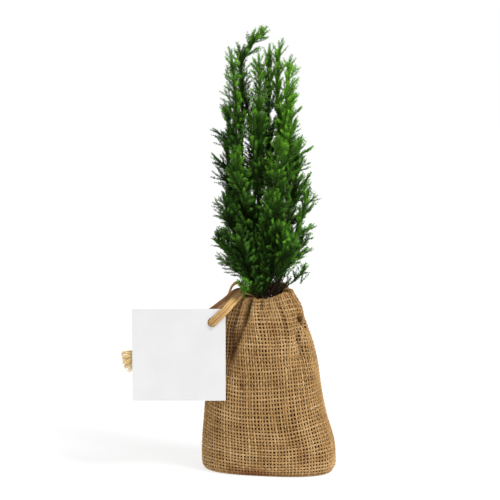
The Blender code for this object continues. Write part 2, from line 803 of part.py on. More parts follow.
def tie_nodes(jute):
    """The two strands of the tie and its small loose loop."""
    over_rim = (-0.35, -0.35, 0.87)
    outward = (-0.1, -0.98, 0.15)
    front = add_object(
        "tie_front", band(FRONT_STRAND, [over_rim] * 3 + [outward] * 4, FRONT_WIDTHS, 22), jute
    )
    gathered = bpy.data.collections.new("tie_front_parts")
    places = [Vector((TAG_HOLE[0], depth * MM, TAG_HOLE[1])) for depth, _ in KNOT_PROFILE]
    gather(gathered, tube(places, [radius * MM for _, radius in KNOT_PROFILE], KNOT_SIDES), jute)
    fuse(front, gathered)
    rear = add_object(
        "tie_rear", band(REAR_STRAND, [over_rim] * 3 + [outward] * 6, REAR_WIDTHS, 26), jute
    )
    gathered = bpy.data.collections.new("tie_rear_parts")
    for shape in fray_shapes():
        gather(gathered, shape, jute)
    fuse(rear, gathered)
    side = (-0.9, -0.3, 0.3)
    above = (0, -0.4, 0.9)
    looks = [(0.8, -0.3, 0.4), (0.6, -0.3, 0.7), above, (-0.8, -0.3, 0.5), side, side]
    add_object("tie_loop", band(TIE_LOOP, looks, [LOOP_WIDTH] * 6, 18), jute)


def build():
    clear_scene()
    cloth = finish("burlap", (0.42, 0.27, 0.13), 0.95)
    soil = finish("soil", (0.035, 0.022, 0.014), 1.0)
    bark = finish("bark", (0.09, 0.055, 0.035), 0.85)
    green = finish("needles", (0.05, 0.13, 0.02), 0.6)
    card = finish("card", (0.86, 0.86, 0.85), 0.7)
    jute = finish("jute", (0.52, 0.33, 0.15), 0.9)
    add_object("tag", tag_shape(), card)
    tie_nodes(jute)
    add_object("burlap_bag", bag_shape(), cloth, smooth_angle=50)
    add_object("root_ball", root_ball_shape(), soil, smooth_angle=40)
    add_object("trunk", trunk_shape(), bark, smooth_angle=50)
    obstacles = {name: [solid_tree(object_shape(name))] for name in FIXED_NODES}
    masses = bough_shoots(obstacles)
    masses.append(top_mass(obstacles))
    masses += tier_masses(obstacles)
    for shoot, first, stem, limb in masses:
        if limb:
            add_object("bough_" + shoot.name, limb, bark, smooth_angle=50)
        name = "foliage_" + shoot.name
        others = [tree for owner, trees in obstacles.items() if owner != name for tree in trees]
        leaf_start = first + (BRANCHLET_START_ON_BOUGH if limb else BRANCHLET_START)
        obstacles[name] += grow_mass(name, shoot, leaf_start, others, stem, green)


build()
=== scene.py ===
"""Looks of a young upright conifer whose root ball stands in a gathered burlap bag, with a blank tag on a jute tie.

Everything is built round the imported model, in metres, +Z up, the front towards -Y. The bag is woven of separate
yarns, and the crown is grown by the same seeded rule as the model's own masses, carried on to needled twigs.
"""

from __future__ import annotations

import logging
import math
import random
from collections.abc import Iterator
from dataclasses import dataclass, field, replace
from enum import Enum

import bmesh
import bpy
import numpy as np
from mathutils import Matrix, Vector, noise
from mathutils.bvhtree import BVHTree


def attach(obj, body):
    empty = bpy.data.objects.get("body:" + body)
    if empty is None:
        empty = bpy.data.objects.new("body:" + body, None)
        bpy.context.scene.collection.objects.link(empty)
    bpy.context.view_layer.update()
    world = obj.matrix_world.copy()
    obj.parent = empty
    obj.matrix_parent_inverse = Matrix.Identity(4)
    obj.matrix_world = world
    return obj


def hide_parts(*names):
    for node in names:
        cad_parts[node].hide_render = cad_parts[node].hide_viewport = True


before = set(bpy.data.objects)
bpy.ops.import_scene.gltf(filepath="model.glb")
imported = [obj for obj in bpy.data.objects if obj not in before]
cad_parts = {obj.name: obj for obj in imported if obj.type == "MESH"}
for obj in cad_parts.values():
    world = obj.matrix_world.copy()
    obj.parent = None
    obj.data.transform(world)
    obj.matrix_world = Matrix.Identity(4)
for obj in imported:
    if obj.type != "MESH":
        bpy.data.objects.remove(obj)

MM = 0.001
UP = Vector((0, 0, 1))
SEED = 41
GOLDEN_TURN = math.radians(137.5)
# Where the tag's hole is, across and up
HOLE = (-42 * MM, 116.1 * MM)
log = logging.getLogger("sapling")


# Small helpers


def smooth_step(value: np.ndarray, low: float, high: float) -> np.ndarray:
    """A smooth rise from 0 to 1."""
    share = np.clip((value - low) / (high - low), 0, 1)
    return share * share * (3 - 2 * share)


def bell(value: np.ndarray) -> np.ndarray:
    """A soft hump, 1 at 0 and nearly 0 past 2."""
    return np.exp(-(value**2))


def off_by(turn: np.ndarray, place: np.ndarray | float, width: float = 1.0) -> np.ndarray:
    """How far angles are from a place, the short way round."""
    return (np.remainder(turn - place + math.pi, math.tau) - math.pi) / width


def spots(turn: np.ndarray, height: np.ndarray, table: tuple) -> Iterator[np.ndarray]:
    """Soft spots on the bag.

    Args:
        turn: angles round the bag from +X.
        height: heights in metres.
        table: for each spot its place in degrees, height in mm, half width in degrees, half height in mm, strength.

    Returns:
        For each spot its strength at every place.
    """
    for place, middle, width, tall, strength in table:
        aside = off_by(turn, math.radians(place), math.radians(width))
        yield strength * np.exp(-(aside**2) - ((height / MM - middle) / tall) ** 2)


def spline(points: list[tuple[float, ...]] | list[Vector], count: int) -> list[Vector]:
    """Evenly stepped points on a smooth curve through the given ones.

    Args:
        points: the points that the curve runs through.
        count: how many points to return.

    Returns:
        The points, the first and the last as given.
    """
    line = [Vector(point) for point in points]
    line = [2 * line[0] - line[1]] + line + [2 * line[-1] - line[-2]]
    spans = len(line) - 3
    made = []
    for n in range(count):
        place = n / (count - 1) * spans
        k = min(int(place), spans - 1)
        t = place - k
        a, b, c, d = line[k : k + 4]
        bend, twist = 2 * a - 5 * b + 4 * c - d, 3 * b - a - 3 * c + d
        made.append(0.5 * (2 * b + (c - a) * t + bend * t**2 + twist * t**3))
    return made


def across(direction: Vector, near: Vector) -> Vector:
    """The unit vector at right angles to a direction that is nearest to another one."""
    flat = near - near.dot(direction) * direction
    return flat.normalized() if flat.length > 1e-6 else direction.orthogonal().normalized()


def heading(line: list[Vector], n: int) -> Vector:
    """The direction of a line at one of its points."""
    return (line[min(n + 1, len(line) - 1)] - line[max(n - 1, 0)]).normalized()


def barrel(rings: int, sides: int) -> list[tuple]:
    """The faces of a closed barrel whose corners are numbered ring after ring.

    Args:
        rings: how many rings it has.
        sides: how many corners a ring has.

    Returns:
        The faces between the rings, then the lowest cap and the highest.
    """
    last = (rings - 1) * sides
    faces = []
    for low in range(0, last, sides):
        for side in range(sides):
            after = (side + 1) % sides
            faces.append((low + side, low + after, low + sides + after, low + sides + side))
    return faces + [tuple(range(sides))[::-1], tuple(range(last, last + sides))]


def tube(line: list[Vector], sides: int) -> tuple[list[tuple], list[tuple]]:
    """The net of a closed tube along a line.

    Args:
        line: its middle line.
        sides: how many sides it has.

    Returns:
        For each corner its point's number, its turn and its way out; and the faces.
    """
    corners = []
    way = across((line[1] - line[0]).normalized(), Vector((1, 0.2, 0)))
    for n in range(len(line)):
        ahead = heading(line, n)
        way = across(ahead, way)
        other = ahead.cross(way)
        for side in range(sides):
            turn = math.tau * side / sides
            corners.append((n, turn, math.cos(turn) * way + math.sin(turn) * other))
    return corners, barrel(len(line), sides)


def unit(vectors: np.ndarray) -> np.ndarray:
    """The vectors at length 1."""
    return vectors / np.maximum(np.linalg.norm(vectors, axis=-1, keepdims=True), 1e-12)


def seeded(name: str, purpose: str) -> random.Random:
    """Random numbers of a shoot's own, the same as in the model's source."""
    return random.Random(f"{SEED} {name} {purpose}")


def either(rng: random.Random, spread: float) -> float:
    """A random number up to a spread either way."""
    return rng.uniform(-1, 1) * spread


def along(line: tuple | list[Vector], share: float) -> tuple[Vector, Vector]:
    """A place on a line of straight steps.

    Args:
        line: the line.
        share: the share of its steps.

    Returns:
        The point, and the step that it lies on.
    """
    place = share * (len(line) - 1)
    k = min(int(place), len(line) - 2)
    return line[k].lerp(line[k + 1], place - k), line[k + 1] - line[k]


def plain_mesh(name: str, corners: list, faces: list[tuple], smooth: bool = True) -> bpy.types.Mesh:
    """A mesh from corners and faces.

    Args:
        name: the mesh's name.
        corners: its corners.
        faces: its faces.
        smooth: whether it is shaded smooth.

    Returns:
        The mesh.
    """
    mesh = bpy.data.meshes.new(name)
    mesh.from_pydata([tuple(corner) for corner in corners], [], faces, shade_flat=not smooth)
    return mesh


def mesh_of(name: str, shape: bmesh.types.BMesh) -> bpy.types.Mesh:
    """A mesh from a shape that is no longer needed.

    Args:
        name: the mesh's name.
        shape: the shape, which is freed.

    Returns:
        The mesh.
    """
    mesh = bpy.data.meshes.new(name)
    shape.to_mesh(mesh)
    shape.free()
    return mesh


# Node trees


class Sketch:
    """A node tree while it is being drawn."""

    def __init__(self, tree: bpy.types.NodeTree) -> None:
        """Starts with an empty tree."""
        self.tree = tree
        tree.nodes.clear()

    def add(self, kind: str, inputs: dict | None = None, **settings: object) -> bpy.types.Node:
        """Adds a node.

        Args:
            kind: Blender's name for the type of node.
            inputs: for each socket, by name or number, the value to set or the socket to link from.
            settings: properties of the node itself.

        Returns:
            The node.
        """
        node = self.tree.nodes.new(kind)
        for key, value in settings.items():
            setattr(node, key, value)
        for key, value in (inputs or {}).items():
            if isinstance(value, bpy.types.NodeSocket):
                self.tree.links.new(value, node.inputs[key])
            else:
                node.inputs[key].default_value = value
        return node

    def first(self, kind: str, inputs: dict | None = None, **settings: object) -> bpy.types.NodeSocket:
        """Adds a node as above, and gives its first output."""
        return self.add(kind, inputs, **settings).outputs[0]

    def attribute(self, name: str, kind: str = "FLOAT") -> bpy.types.NodeSocket:
        """An attribute in a geometry tree."""
        return self.first("GeometryNodeInputNamedAttribute", {"Name": name}, data_type=kind)

    def store(self, geometry: object, name: str, value: object, kind: str = "FLOAT") -> bpy.types.NodeSocket:
        """The geometry with a value stored on its points."""
        inputs = {"Geometry": geometry, "Name": name, "Value": value}
        return self.first("GeometryNodeStoreNamedAttribute", inputs, data_type=kind, domain="POINT")

    def maths(self, operation: str, *values: object) -> bpy.types.NodeSocket:
        """The result of a sum on numbers or sockets."""
        return self.first("ShaderNodeMath", dict(enumerate(values)), operation=operation)

    def blend(self, share: object, first: object, second: object) -> bpy.types.NodeSocket:
        """A mix of two colours."""
        return self.add("ShaderNodeMix", {0: share, 6: first, 7: second}, data_type="RGBA").outputs[2]

    def ramp(self, share: bpy.types.NodeSocket, stops: tuple) -> bpy.types.NodeSocket:
        """Colours spread along a number.

        Args:
            share: the socket that picks the colour.
            stops: places from 0 to 1 with their colours.

        Returns:
            The socket that holds the colour.
        """
        node = self.add("ShaderNodeValToRGB", {"Fac": share})
        band = node.color_ramp
        while len(band.elements) < len(stops):
            band.elements.new(0.5)
        for element, (place, colour) in zip(band.elements, stops):
            element.position = place
            element.color = (*colour, 1)
        return node.outputs["Color"]

    def grain(self, coordinates: object, scale: float, detail: float, rough: float = 0.55) -> bpy.types.NodeSocket:
        """A noise from 0 to 1."""
        inputs = {"Vector": coordinates, "Scale": scale, "Detail": detail, "Roughness": rough}
        return self.add("ShaderNodeTexNoise", inputs).outputs["Fac"]


# Finishes


@dataclass(frozen=True)
class Finish:
    """What every finish has: a name and a roughness."""

    name: str
    roughness: float

    def material(self) -> bpy.types.Material:
        """The finish's material, drawn the first time it is asked for.

        Returns:
            The material.
        """
        made = bpy.data.materials.get(self.name)
        if made is None:
            made = bpy.data.materials.new(self.name)
            made.use_nodes = True
            self.draw(Sketch(made.node_tree))
        return made

    def draw(self, sketch: Sketch) -> None:
        """Draws the material's nodes."""
        raise NotImplementedError

    def close(self, sketch: Sketch, colour: object, height: object, depth: float, **fixed: float) -> None:
        """Joins colour and relief to a shader and an output.

        Args:
            sketch: the material's tree.
            colour: the socket or value of the base colour.
            height: the socket of the relief.
            depth: the relief's full height in metres.
            fixed: sockets of the shader that are the same all over, as words joined by underscores.
        """
        bump = sketch.first("ShaderNodeBump", {"Height": height, "Distance": depth, "Strength": 1.0})
        values = {"Base Color": colour, "Normal": bump, "Roughness": self.roughness}
        values.update({key.replace("_", " "): value for key, value in fixed.items()})
        sketch.add("ShaderNodeOutputMaterial", {"Surface": sketch.first("ShaderNodeBsdfPrincipled", values)})


@dataclass(frozen=True)
class Yarn(Finish):
    """Spun plant fibre: streaks along the yarn, a tint of its own, stains, and painted shade in the folds.

    It reads two attributes of a swept fibre: strand, which is the place along it, round it and its number, and tone,
    which is its tint, stain and darkening, the darkening being mostly painted shade in folds.
    """

    dark: tuple
    middle: tuple
    pale: tuple
    streaks: float = 700.0
    contrast: float = 0.12
    relief: float = 0.16 * MM
    # Streaks round the yarn, and how far the noise moves on from yarn to yarn
    streaks_round: float = 7.0
    apart: float = 5.3
    streak_share: float = 0.75
    cloud_scale: float = 55.0
    cloud_share: float = 0.35
    darkened: float = -0.1
    stops: tuple = (0.22, 0.48, 0.76)
    stain: tuple = (0.20, 0.055, 0.02, 1)
    # Painted shade: the colour that folds and turned-in cloth are darkened towards, and how far at most
    painted_shade_colour: tuple = (0.085, 0.034, 0.009, 1)
    painted_shade_share: float = 0.74

    def draw(self, sketch: Sketch) -> None:
        """Draws the material's nodes.

        Args:
            sketch: the material's tree.
        """
        strand = sketch.add("ShaderNodeAttribute", attribute_name="strand").outputs["Vector"]
        scales = {0: strand, 1: (self.streaks, self.streaks_round, self.apart)}
        fibres = sketch.grain(sketch.first("ShaderNodeVectorMath", scales, operation="MULTIPLY"), 1.0, 4.0, 0.65)
        place = sketch.add("ShaderNodeTexCoord").outputs["Object"]
        cloud = sketch.grain(place, self.cloud_scale, 3.0)
        tone = sketch.add("ShaderNodeAttribute", attribute_name="tone").outputs["Vector"]
        tint, stained, painted_shade_amount = sketch.add("ShaderNodeSeparateXYZ", {"Vector": tone}).outputs
        share = sketch.maths("MULTIPLY_ADD", fibres, self.streak_share, self.darkened)
        share = sketch.maths("MULTIPLY_ADD", cloud, self.cloud_share, share)
        share = sketch.maths("MULTIPLY_ADD", tint, self.contrast, share)
        colour = sketch.ramp(share, tuple(zip(self.stops, (self.dark, self.middle, self.pale))))
        colour = sketch.blend(stained, colour, self.stain)
        # Painted shade darkens the colour in folds and where cloth turns in
        colour = sketch.blend(sketch.maths("MULTIPLY", painted_shade_amount, self.painted_shade_share), colour, self.painted_shade_colour)
        self.close(sketch, colour, fibres, self.relief, Specular_IOR_Level=0.08)


@dataclass(frozen=True)
class Mottled(Finish):
    """Colours spread by a coarse and a fine grain on Object coordinates, with relief from the fine one."""

    # Places from 0 to 1 with their colours
    stops: tuple
    # Scale, detail and, where it isn't the usual one, roughness of each grain
    fine: tuple
    coarse: tuple
    # How much the fine and the coarse grain count
    shares: tuple
    relief: float
    specular: float = 0.5
    glow: float = 0.0
    # How the fine grain is scaled along each axis
    stretch: tuple | None = None

    def draw(self, sketch: Sketch) -> None:
        """Draws the material's nodes.

        Args:
            sketch: the material's tree.
        """
        place = sketch.add("ShaderNodeTexCoord").outputs["Object"]
        drawn = sketch.first("ShaderNodeMapping", {"Vector": place, "Scale": self.stretch}) if self.stretch else place
        fine, coarse = sketch.grain(drawn, *self.fine), sketch.grain(place, *self.coarse)
        share = sketch.maths("MULTIPLY", fine, self.shares[0])
        share = sketch.maths("MULTIPLY_ADD", coarse, self.shares[1], share)
        fixed = {"Specular_IOR_Level": self.specular, "Emission_Strength": self.glow}
        self.close(sketch, sketch.ramp(share, self.stops), fine, self.relief, **fixed)


class Tone(Enum):
    """The crown's greens, from its shaded inside to its bright tips, as painted shade and painted light."""

    DEEP = (0.016, 0.046, 0.007)
    SHADE = (0.037, 0.106, 0.015)
    MID = (0.080, 0.216, 0.025)
    FRESH = (0.140, 0.365, 0.028)
    TIP = (0.230, 0.530, 0.040)

    def finish(self) -> Mottled:
        """The finish of this tone, a little uneven from spray to spray.

        Returns:
            The finish.
        """
        uneven = 0.32
        low, high = (tuple(part * (1 + way * uneven) for part in self.value) for way in (-1, 1))
        return Mottled(
            f"needles_{self.name.lower()}",
            0.65,
            ((0.3, low), (0.7, high)),
            fine=(2400.0, 1.0),
            coarse=(140.0, 2.0),
            shares=(0.35, 0.65),
            relief=0.05 * MM,
            specular=0.06,
        )


BURLAP = Yarn("burlap_yarn", 0.95, (0.15, 0.062, 0.014), (0.49, 0.298, 0.122), (0.86, 0.64, 0.38))
STRAW = Yarn(
    "jute_fibre", 0.85, (0.38, 0.21, 0.08), (0.76, 0.50, 0.20), (0.90, 0.70, 0.40), streaks=420.0, contrast=0.2
)
BROWN_STRAW = Yarn(
    "brown_jute_fibre", 0.88, (0.15, 0.07, 0.03), (0.36, 0.20, 0.09), (0.60, 0.40, 0.21), streaks=260.0, contrast=0.3
)
PALE_STRAW = Yarn("pale_jute_fibre", 0.8, (0.56, 0.37, 0.14), (0.84, 0.63, 0.29), (0.95, 0.84, 0.54), streaks=260.0)
EARTH = Mottled(
    "peat",
    1.0,
    ((0.3, (0.030, 0.010, 0.003)), (0.62, (0.105, 0.040, 0.012)), (0.78, (0.11, 0.06, 0.028))),
    fine=(900.0, 5.0, 0.7),
    coarse=(160.0, 3.0),
    shares=(0.5, 0.5),
    relief=0.5 * MM,
    specular=0.03,
)
BARK = Mottled(
    "strip_bark",
    0.8,
    ((0.34, (0.010, 0.006, 0.004)), (0.72, (0.052, 0.030, 0.019))),
    fine=(1500.0, 4.0, 0.6),
    coarse=(120.0, 2.0),
    shares=(0.6, 0.45),
    relief=0.18 * MM,
    specular=0.3,
    stretch=(1, 1, 0.22),
)
STEM = replace(
    BARK, name="green_stem", roughness=0.7, stops=((0.34, (0.018, 0.016, 0.006)), (0.72, (0.07, 0.075, 0.02)))
)
CARD = Mottled(
    "smooth_card",
    0.75,
    ((0.35, (0.7382, 0.7382, 0.7402)), (0.65, (0.765, 0.765, 0.767))),
    fine=(2600.0, 3.0),
    coarse=(45.0, 2.0),
    shares=(0.0, 1.0),
    relief=0.03 * MM,
    specular=0.3,
)
# The pale studio floor glows a little so that shadows on it stay faint
GROUND = Mottled(
    "floor",
    0.9,
    ((0.4, (0.297, 0.297, 0.297)), (0.6, (0.3, 0.3, 0.3))),
    fine=(3.0, 2.0),
    coarse=(3.0, 2.0),
    shares=(0.0, 1.0),
    relief=0.001 * MM,
    glow=0.75,
)


# Sweeping fibres and setting needles


@dataclass
class Strand:
    """The line of one yarn, fibre or twig, with what its sweep needs at each point."""

    line: np.ndarray
    facing: np.ndarray
    girth: np.ndarray
    tone: np.ndarray
    closed: bool = False


def strand_along(points: list | np.ndarray, facing: Vector, girths: list, tone: tuple = (0, 0, 0)) -> Strand:
    """A strand with one facing and one tone.

    Args:
        points: its line.
        facing: the side that its face is turned to.
        girths: its girth at each point.
        tone: its tint, stain and crease.

    Returns:
        The strand.
    """
    line = np.array([tuple(point) for point in points])
    count = len(line)
    return Strand(line, np.tile(tuple(facing), (count, 1)), np.array(girths), np.tile(tone, (count, 1)))


def lay(mesh: bpy.types.Mesh, name: str, values: np.ndarray) -> None:
    """Lays numbers or vectors on a mesh's points."""
    kind, part = ("FLOAT_VECTOR", "vector") if values.ndim > 1 else ("FLOAT", "value")
    mesh.attributes.new(name, kind, "POINT").data.foreach_set(part, values.astype(np.float32).ravel())


def line_mesh(name: str, strands: list[Strand]) -> bpy.types.Mesh:
    """A mesh of bare edges that carries the lines to Geometry Nodes.

    Args:
        name: the mesh's name.
        strands: the lines.

    Returns:
        The mesh, with the attributes facing, girth, tone and yarn on its points.
    """
    edges, start = [], 0
    for strand in strands:
        count = len(strand.line)
        edges.append(np.stack([np.arange(count - 1), np.arange(1, count)], 1) + start)
        if strand.closed:
            edges.append(np.array([[start + count - 1, start]]))
        start += count
    mesh = bpy.data.meshes.new(name)
    mesh.from_pydata(np.concatenate([s.line for s in strands]), np.concatenate(edges), [])
    for key in ("facing", "girth", "tone"):
        lay(mesh, key, np.concatenate([getattr(strand, key) for strand in strands]))
    lay(mesh, "yarn", np.concatenate([np.full(len(strand.line), n) for n, strand in enumerate(strands)]))
    return mesh


def piece_of(name: str, mesh: bpy.types.Mesh, finish: Finish, replaced: list[str]) -> None:
    """Puts up a finished piece that rides on the model.

    Args:
        name: the piece's name.
        mesh: its mesh, already in place.
        finish: its finish.
        replaced: the nodes of the model that it stands for.
    """
    mesh.materials.clear()
    mesh.materials.append(finish.material())
    mesh.polygons.foreach_set("material_index", np.zeros(len(mesh.polygons), np.int32))
    piece = bpy.data.objects.new(name, mesh)
    bpy.context.scene.collection.objects.link(piece)
    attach(piece, "root")
    if replaced:
        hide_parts(*replaced)
    mesh.calc_loop_triangles()
    log.info("%s: %d triangles", name, len(mesh.loop_triangles))


class Nodes:
    """A Geometry Nodes tree with named inputs, and the run of it on a mesh."""

    def __init__(self, name: str, sockets: dict[str, str]) -> None:
        """Starts a tree.

        Args:
            name: the tree's name.
            sockets: the kind of socket for each named input.
        """
        tree = bpy.data.node_groups.new(name, "GeometryNodeTree")
        tree.interface.new_socket("Lines", in_out="INPUT", socket_type="NodeSocketGeometry")
        self.inputs = {
            key: tree.interface.new_socket(key, in_out="INPUT", socket_type="NodeSocket" + kind).identifier
            for key, kind in sockets.items()
        }
        tree.interface.new_socket("Solid", in_out="OUTPUT", socket_type="NodeSocketGeometry")
        self.sketch = Sketch(tree)
        self.given = self.sketch.add("NodeGroupInput").outputs

    def close(self, solid: bpy.types.NodeSocket) -> None:
        """Realises what was made and gives it its finish.

        Args:
            solid: the socket of what was made.
        """
        real = self.sketch.first("GeometryNodeRealizeInstances", {"Geometry": solid})
        inputs = {"Geometry": real, "Material": self.given["Finish"]}
        self.sketch.add("NodeGroupOutput", {"Solid": self.sketch.first("GeometryNodeSetMaterial", inputs)})

    def run(self, source: bpy.types.Mesh, values: dict[str, object]) -> bpy.types.Mesh:
        """Runs the tree on a mesh.

        Args:
            source: the mesh that goes in.
            values: the named inputs.

        Returns:
            What comes out, as a plain mesh.
        """
        carrier = bpy.data.objects.new(source.name + "_lines", source)
        bpy.context.scene.collection.objects.link(carrier)
        modifier = carrier.modifiers.new("grown", "NODES")
        modifier.node_group = self.sketch.tree
        for key, value in values.items():
            modifier[self.inputs[key]] = value
        graph = bpy.context.evaluated_depsgraph_get()
        made = bpy.data.meshes.new_from_object(carrier.evaluated_get(graph))
        carrier.modifiers.clear()
        bpy.data.objects.remove(carrier, do_unlink=True)
        bpy.data.meshes.remove(source)
        return made


class Spinner:
    """Sweeps lines into flattened round fibres."""

    def __init__(self) -> None:
        """Draws the tree."""
        sockets = {"Half width": "Float", "Half thickness": "Float", "Sides": "Int", "Finish": "Material"}
        self.nodes = Nodes("swept fibre", sockets)
        sketch, given = self.nodes.sketch, self.nodes.given
        curve = sketch.first("GeometryNodeMeshToCurve", {"Mesh": given["Lines"]})
        facing = {"Curve": curve, "Normal": sketch.attribute("facing", "FLOAT_VECTOR")}
        curve = self.remember(sketch.first("GeometryNodeSetCurveNormal", facing, mode="FREE"), "along", "Length")
        ring = sketch.first("GeometryNodeCurvePrimitiveCircle", {"Resolution": given["Sides"], "Radius": 1.0})
        shape = sketch.first("ShaderNodeCombineXYZ", {0: given["Half thickness"], 1: given["Half width"], 2: 1.0})
        ring = sketch.first("GeometryNodeTransform", {"Geometry": ring, "Scale": shape})
        ring = self.remember(ring, "around", "Factor")
        swept = {"Curve": curve, "Profile Curve": ring, "Scale": sketch.attribute("girth"), "Fill Caps": True}
        solid = sketch.first("GeometryNodeCurveToMesh", swept)
        parts = [sketch.attribute(key) for key in ("along", "around", "yarn")]
        strand = sketch.first("ShaderNodeCombineXYZ", dict(enumerate(parts)))
        solid = sketch.store(solid, "strand", strand, "FLOAT_VECTOR")
        for key in ("along", "around", "yarn", "facing", "girth"):
            solid = sketch.first("GeometryNodeRemoveAttribute", {"Geometry": solid, "Name": key})
        self.nodes.close(sketch.first("GeometryNodeSetShadeSmooth", {"Geometry": solid, "Shade Smooth": True}))

    def remember(self, curve: bpy.types.NodeSocket, name: str, part: str) -> bpy.types.NodeSocket:
        """A curve with one of its spline's own numbers stored on its points."""
        place = self.nodes.sketch.add("GeometryNodeSplineParameter").outputs[part]
        return self.nodes.sketch.store(curve, name, place)

    def spin(self, name: str, strands: list[Strand], size: tuple, sides: int, finish: Finish) -> bpy.types.Mesh:
        """Sweeps strands."""
        values = {"Half width": size[0], "Half thickness": size[1], "Sides": sides, "Finish": finish.material()}
        return self.nodes.run(line_mesh(name, strands), values)

    def piece(
        self, name: str, strands: list[Strand], shape: tuple, finish: Finish, slot: str, replaced: list[str]
    ) -> None:
        """Sweeps strands into a finished piece."""
        piece_of(name, self.spin(name, strands, shape[:2], shape[2], finish), finish, replaced)


@dataclass
class Needles:
    """Sets whorls of needles along twigs."""

    pitch: float = 1.1 * MM
    per_whorl: int = 4
    length: float = 2.5 * MM
    width: float = 0.8 * MM
    thickness: float = 0.28 * MM
    lean: float = 38.0
    # Random shares of the step between needles, degrees of lean, and range of length
    turn_spread: float = 0.14
    lean_spread: float = 9
    length_range: tuple = (0.82, 1.05)
    # A needle starts this far from the twig's middle, up to this far ahead or behind, and bends up by this much
    root: float = 0.1 * MM
    root_spread: float = 0.25
    bend: float = 0.12 * MM
    # It is widest at this share of its length
    widest: float = 0.34

    def __post_init__(self) -> None:
        """Draws the tree and makes the whorl."""
        self.nodes = Nodes("needle whorls", {"Pitch": "Float", "Whorl": "Object", "Finish": "Material"})
        sketch, given = self.nodes.sketch, self.nodes.given
        curve = sketch.first("GeometryNodeMeshToCurve", {"Mesh": given["Lines"]})
        even = sketch.first("GeometryNodeResampleCurve", {"Curve": curve, "Length": given["Pitch"]}, mode="LENGTH")
        ahead = sketch.first("GeometryNodeInputTangent")
        aimed = sketch.first("FunctionNodeAlignRotationToVector", {"Vector": ahead}, axis="Z")
        turn = sketch.maths("MULTIPLY", sketch.first("GeometryNodeInputIndex"), GOLDEN_TURN)
        spin = sketch.first("FunctionNodeAxisAngleToRotation", {"Axis": (0, 0, 1), "Angle": turn})
        both = {"Rotation": aimed, "Rotate By": spin}
        turned = sketch.first("FunctionNodeRotateRotation", both, rotation_space="LOCAL")
        whorl = sketch.add("GeometryNodeObjectInfo", {"Object": given["Whorl"]}).outputs["Geometry"]
        placed = {"Points": even, "Instance": whorl, "Rotation": turned, "Scale": sketch.attribute("girth")}
        self.nodes.close(sketch.first("GeometryNodeInstanceOnPoints", placed))
        self.whorl = self.make_whorl()

    def make_whorl(self) -> bpy.types.Object:
        """One whorl of closed flat awls that lean forward from the twig.

        Returns:
            An object that only lends its shape.
        """
        rng = seeded("whorl", "needles")
        shape = bmesh.new()
        for n in range(self.per_whorl):
            turn = math.tau * (n + either(rng, self.turn_spread)) / self.per_whorl
            lean = math.radians(self.lean + either(rng, self.lean_spread))
            out = Vector((math.cos(turn), math.sin(turn), 0))
            side = Vector((-math.sin(turn), math.cos(turn), 0))
            ahead = math.sin(lean) * out + math.cos(lean) * UP
            above = side.cross(ahead)
            root = out * self.root + UP * rng.uniform(-1, 1) * self.root_spread * MM
            tip = root + ahead * self.length * rng.uniform(*self.length_range) + above * self.bend
            middle = root + ahead * self.length * self.widest
            half, thin = side * self.width / 2, above * self.thickness / 2
            corners = [shape.verts.new(place) for place in (middle + half, middle - half, root - thin, tip)]
            for face in ((0, 1, 2), (1, 0, 3), (2, 1, 3), (0, 2, 3)):
                shape.faces.new([corners[k] for k in face])
        bmesh.ops.recalc_face_normals(shape, faces=shape.faces[:])
        return bpy.data.objects.new("whorl", mesh_of("whorl", shape))

    def grow(self, name: str, strands: list[Strand], finish: Finish) -> bpy.types.Mesh:
        """Sets needles along strands, scaled by their girth."""
        values = {"Pitch": self.pitch, "Whorl": self.whorl, "Finish": finish.material()}
        return self.nodes.run(line_mesh(name, strands), values)


# Bag


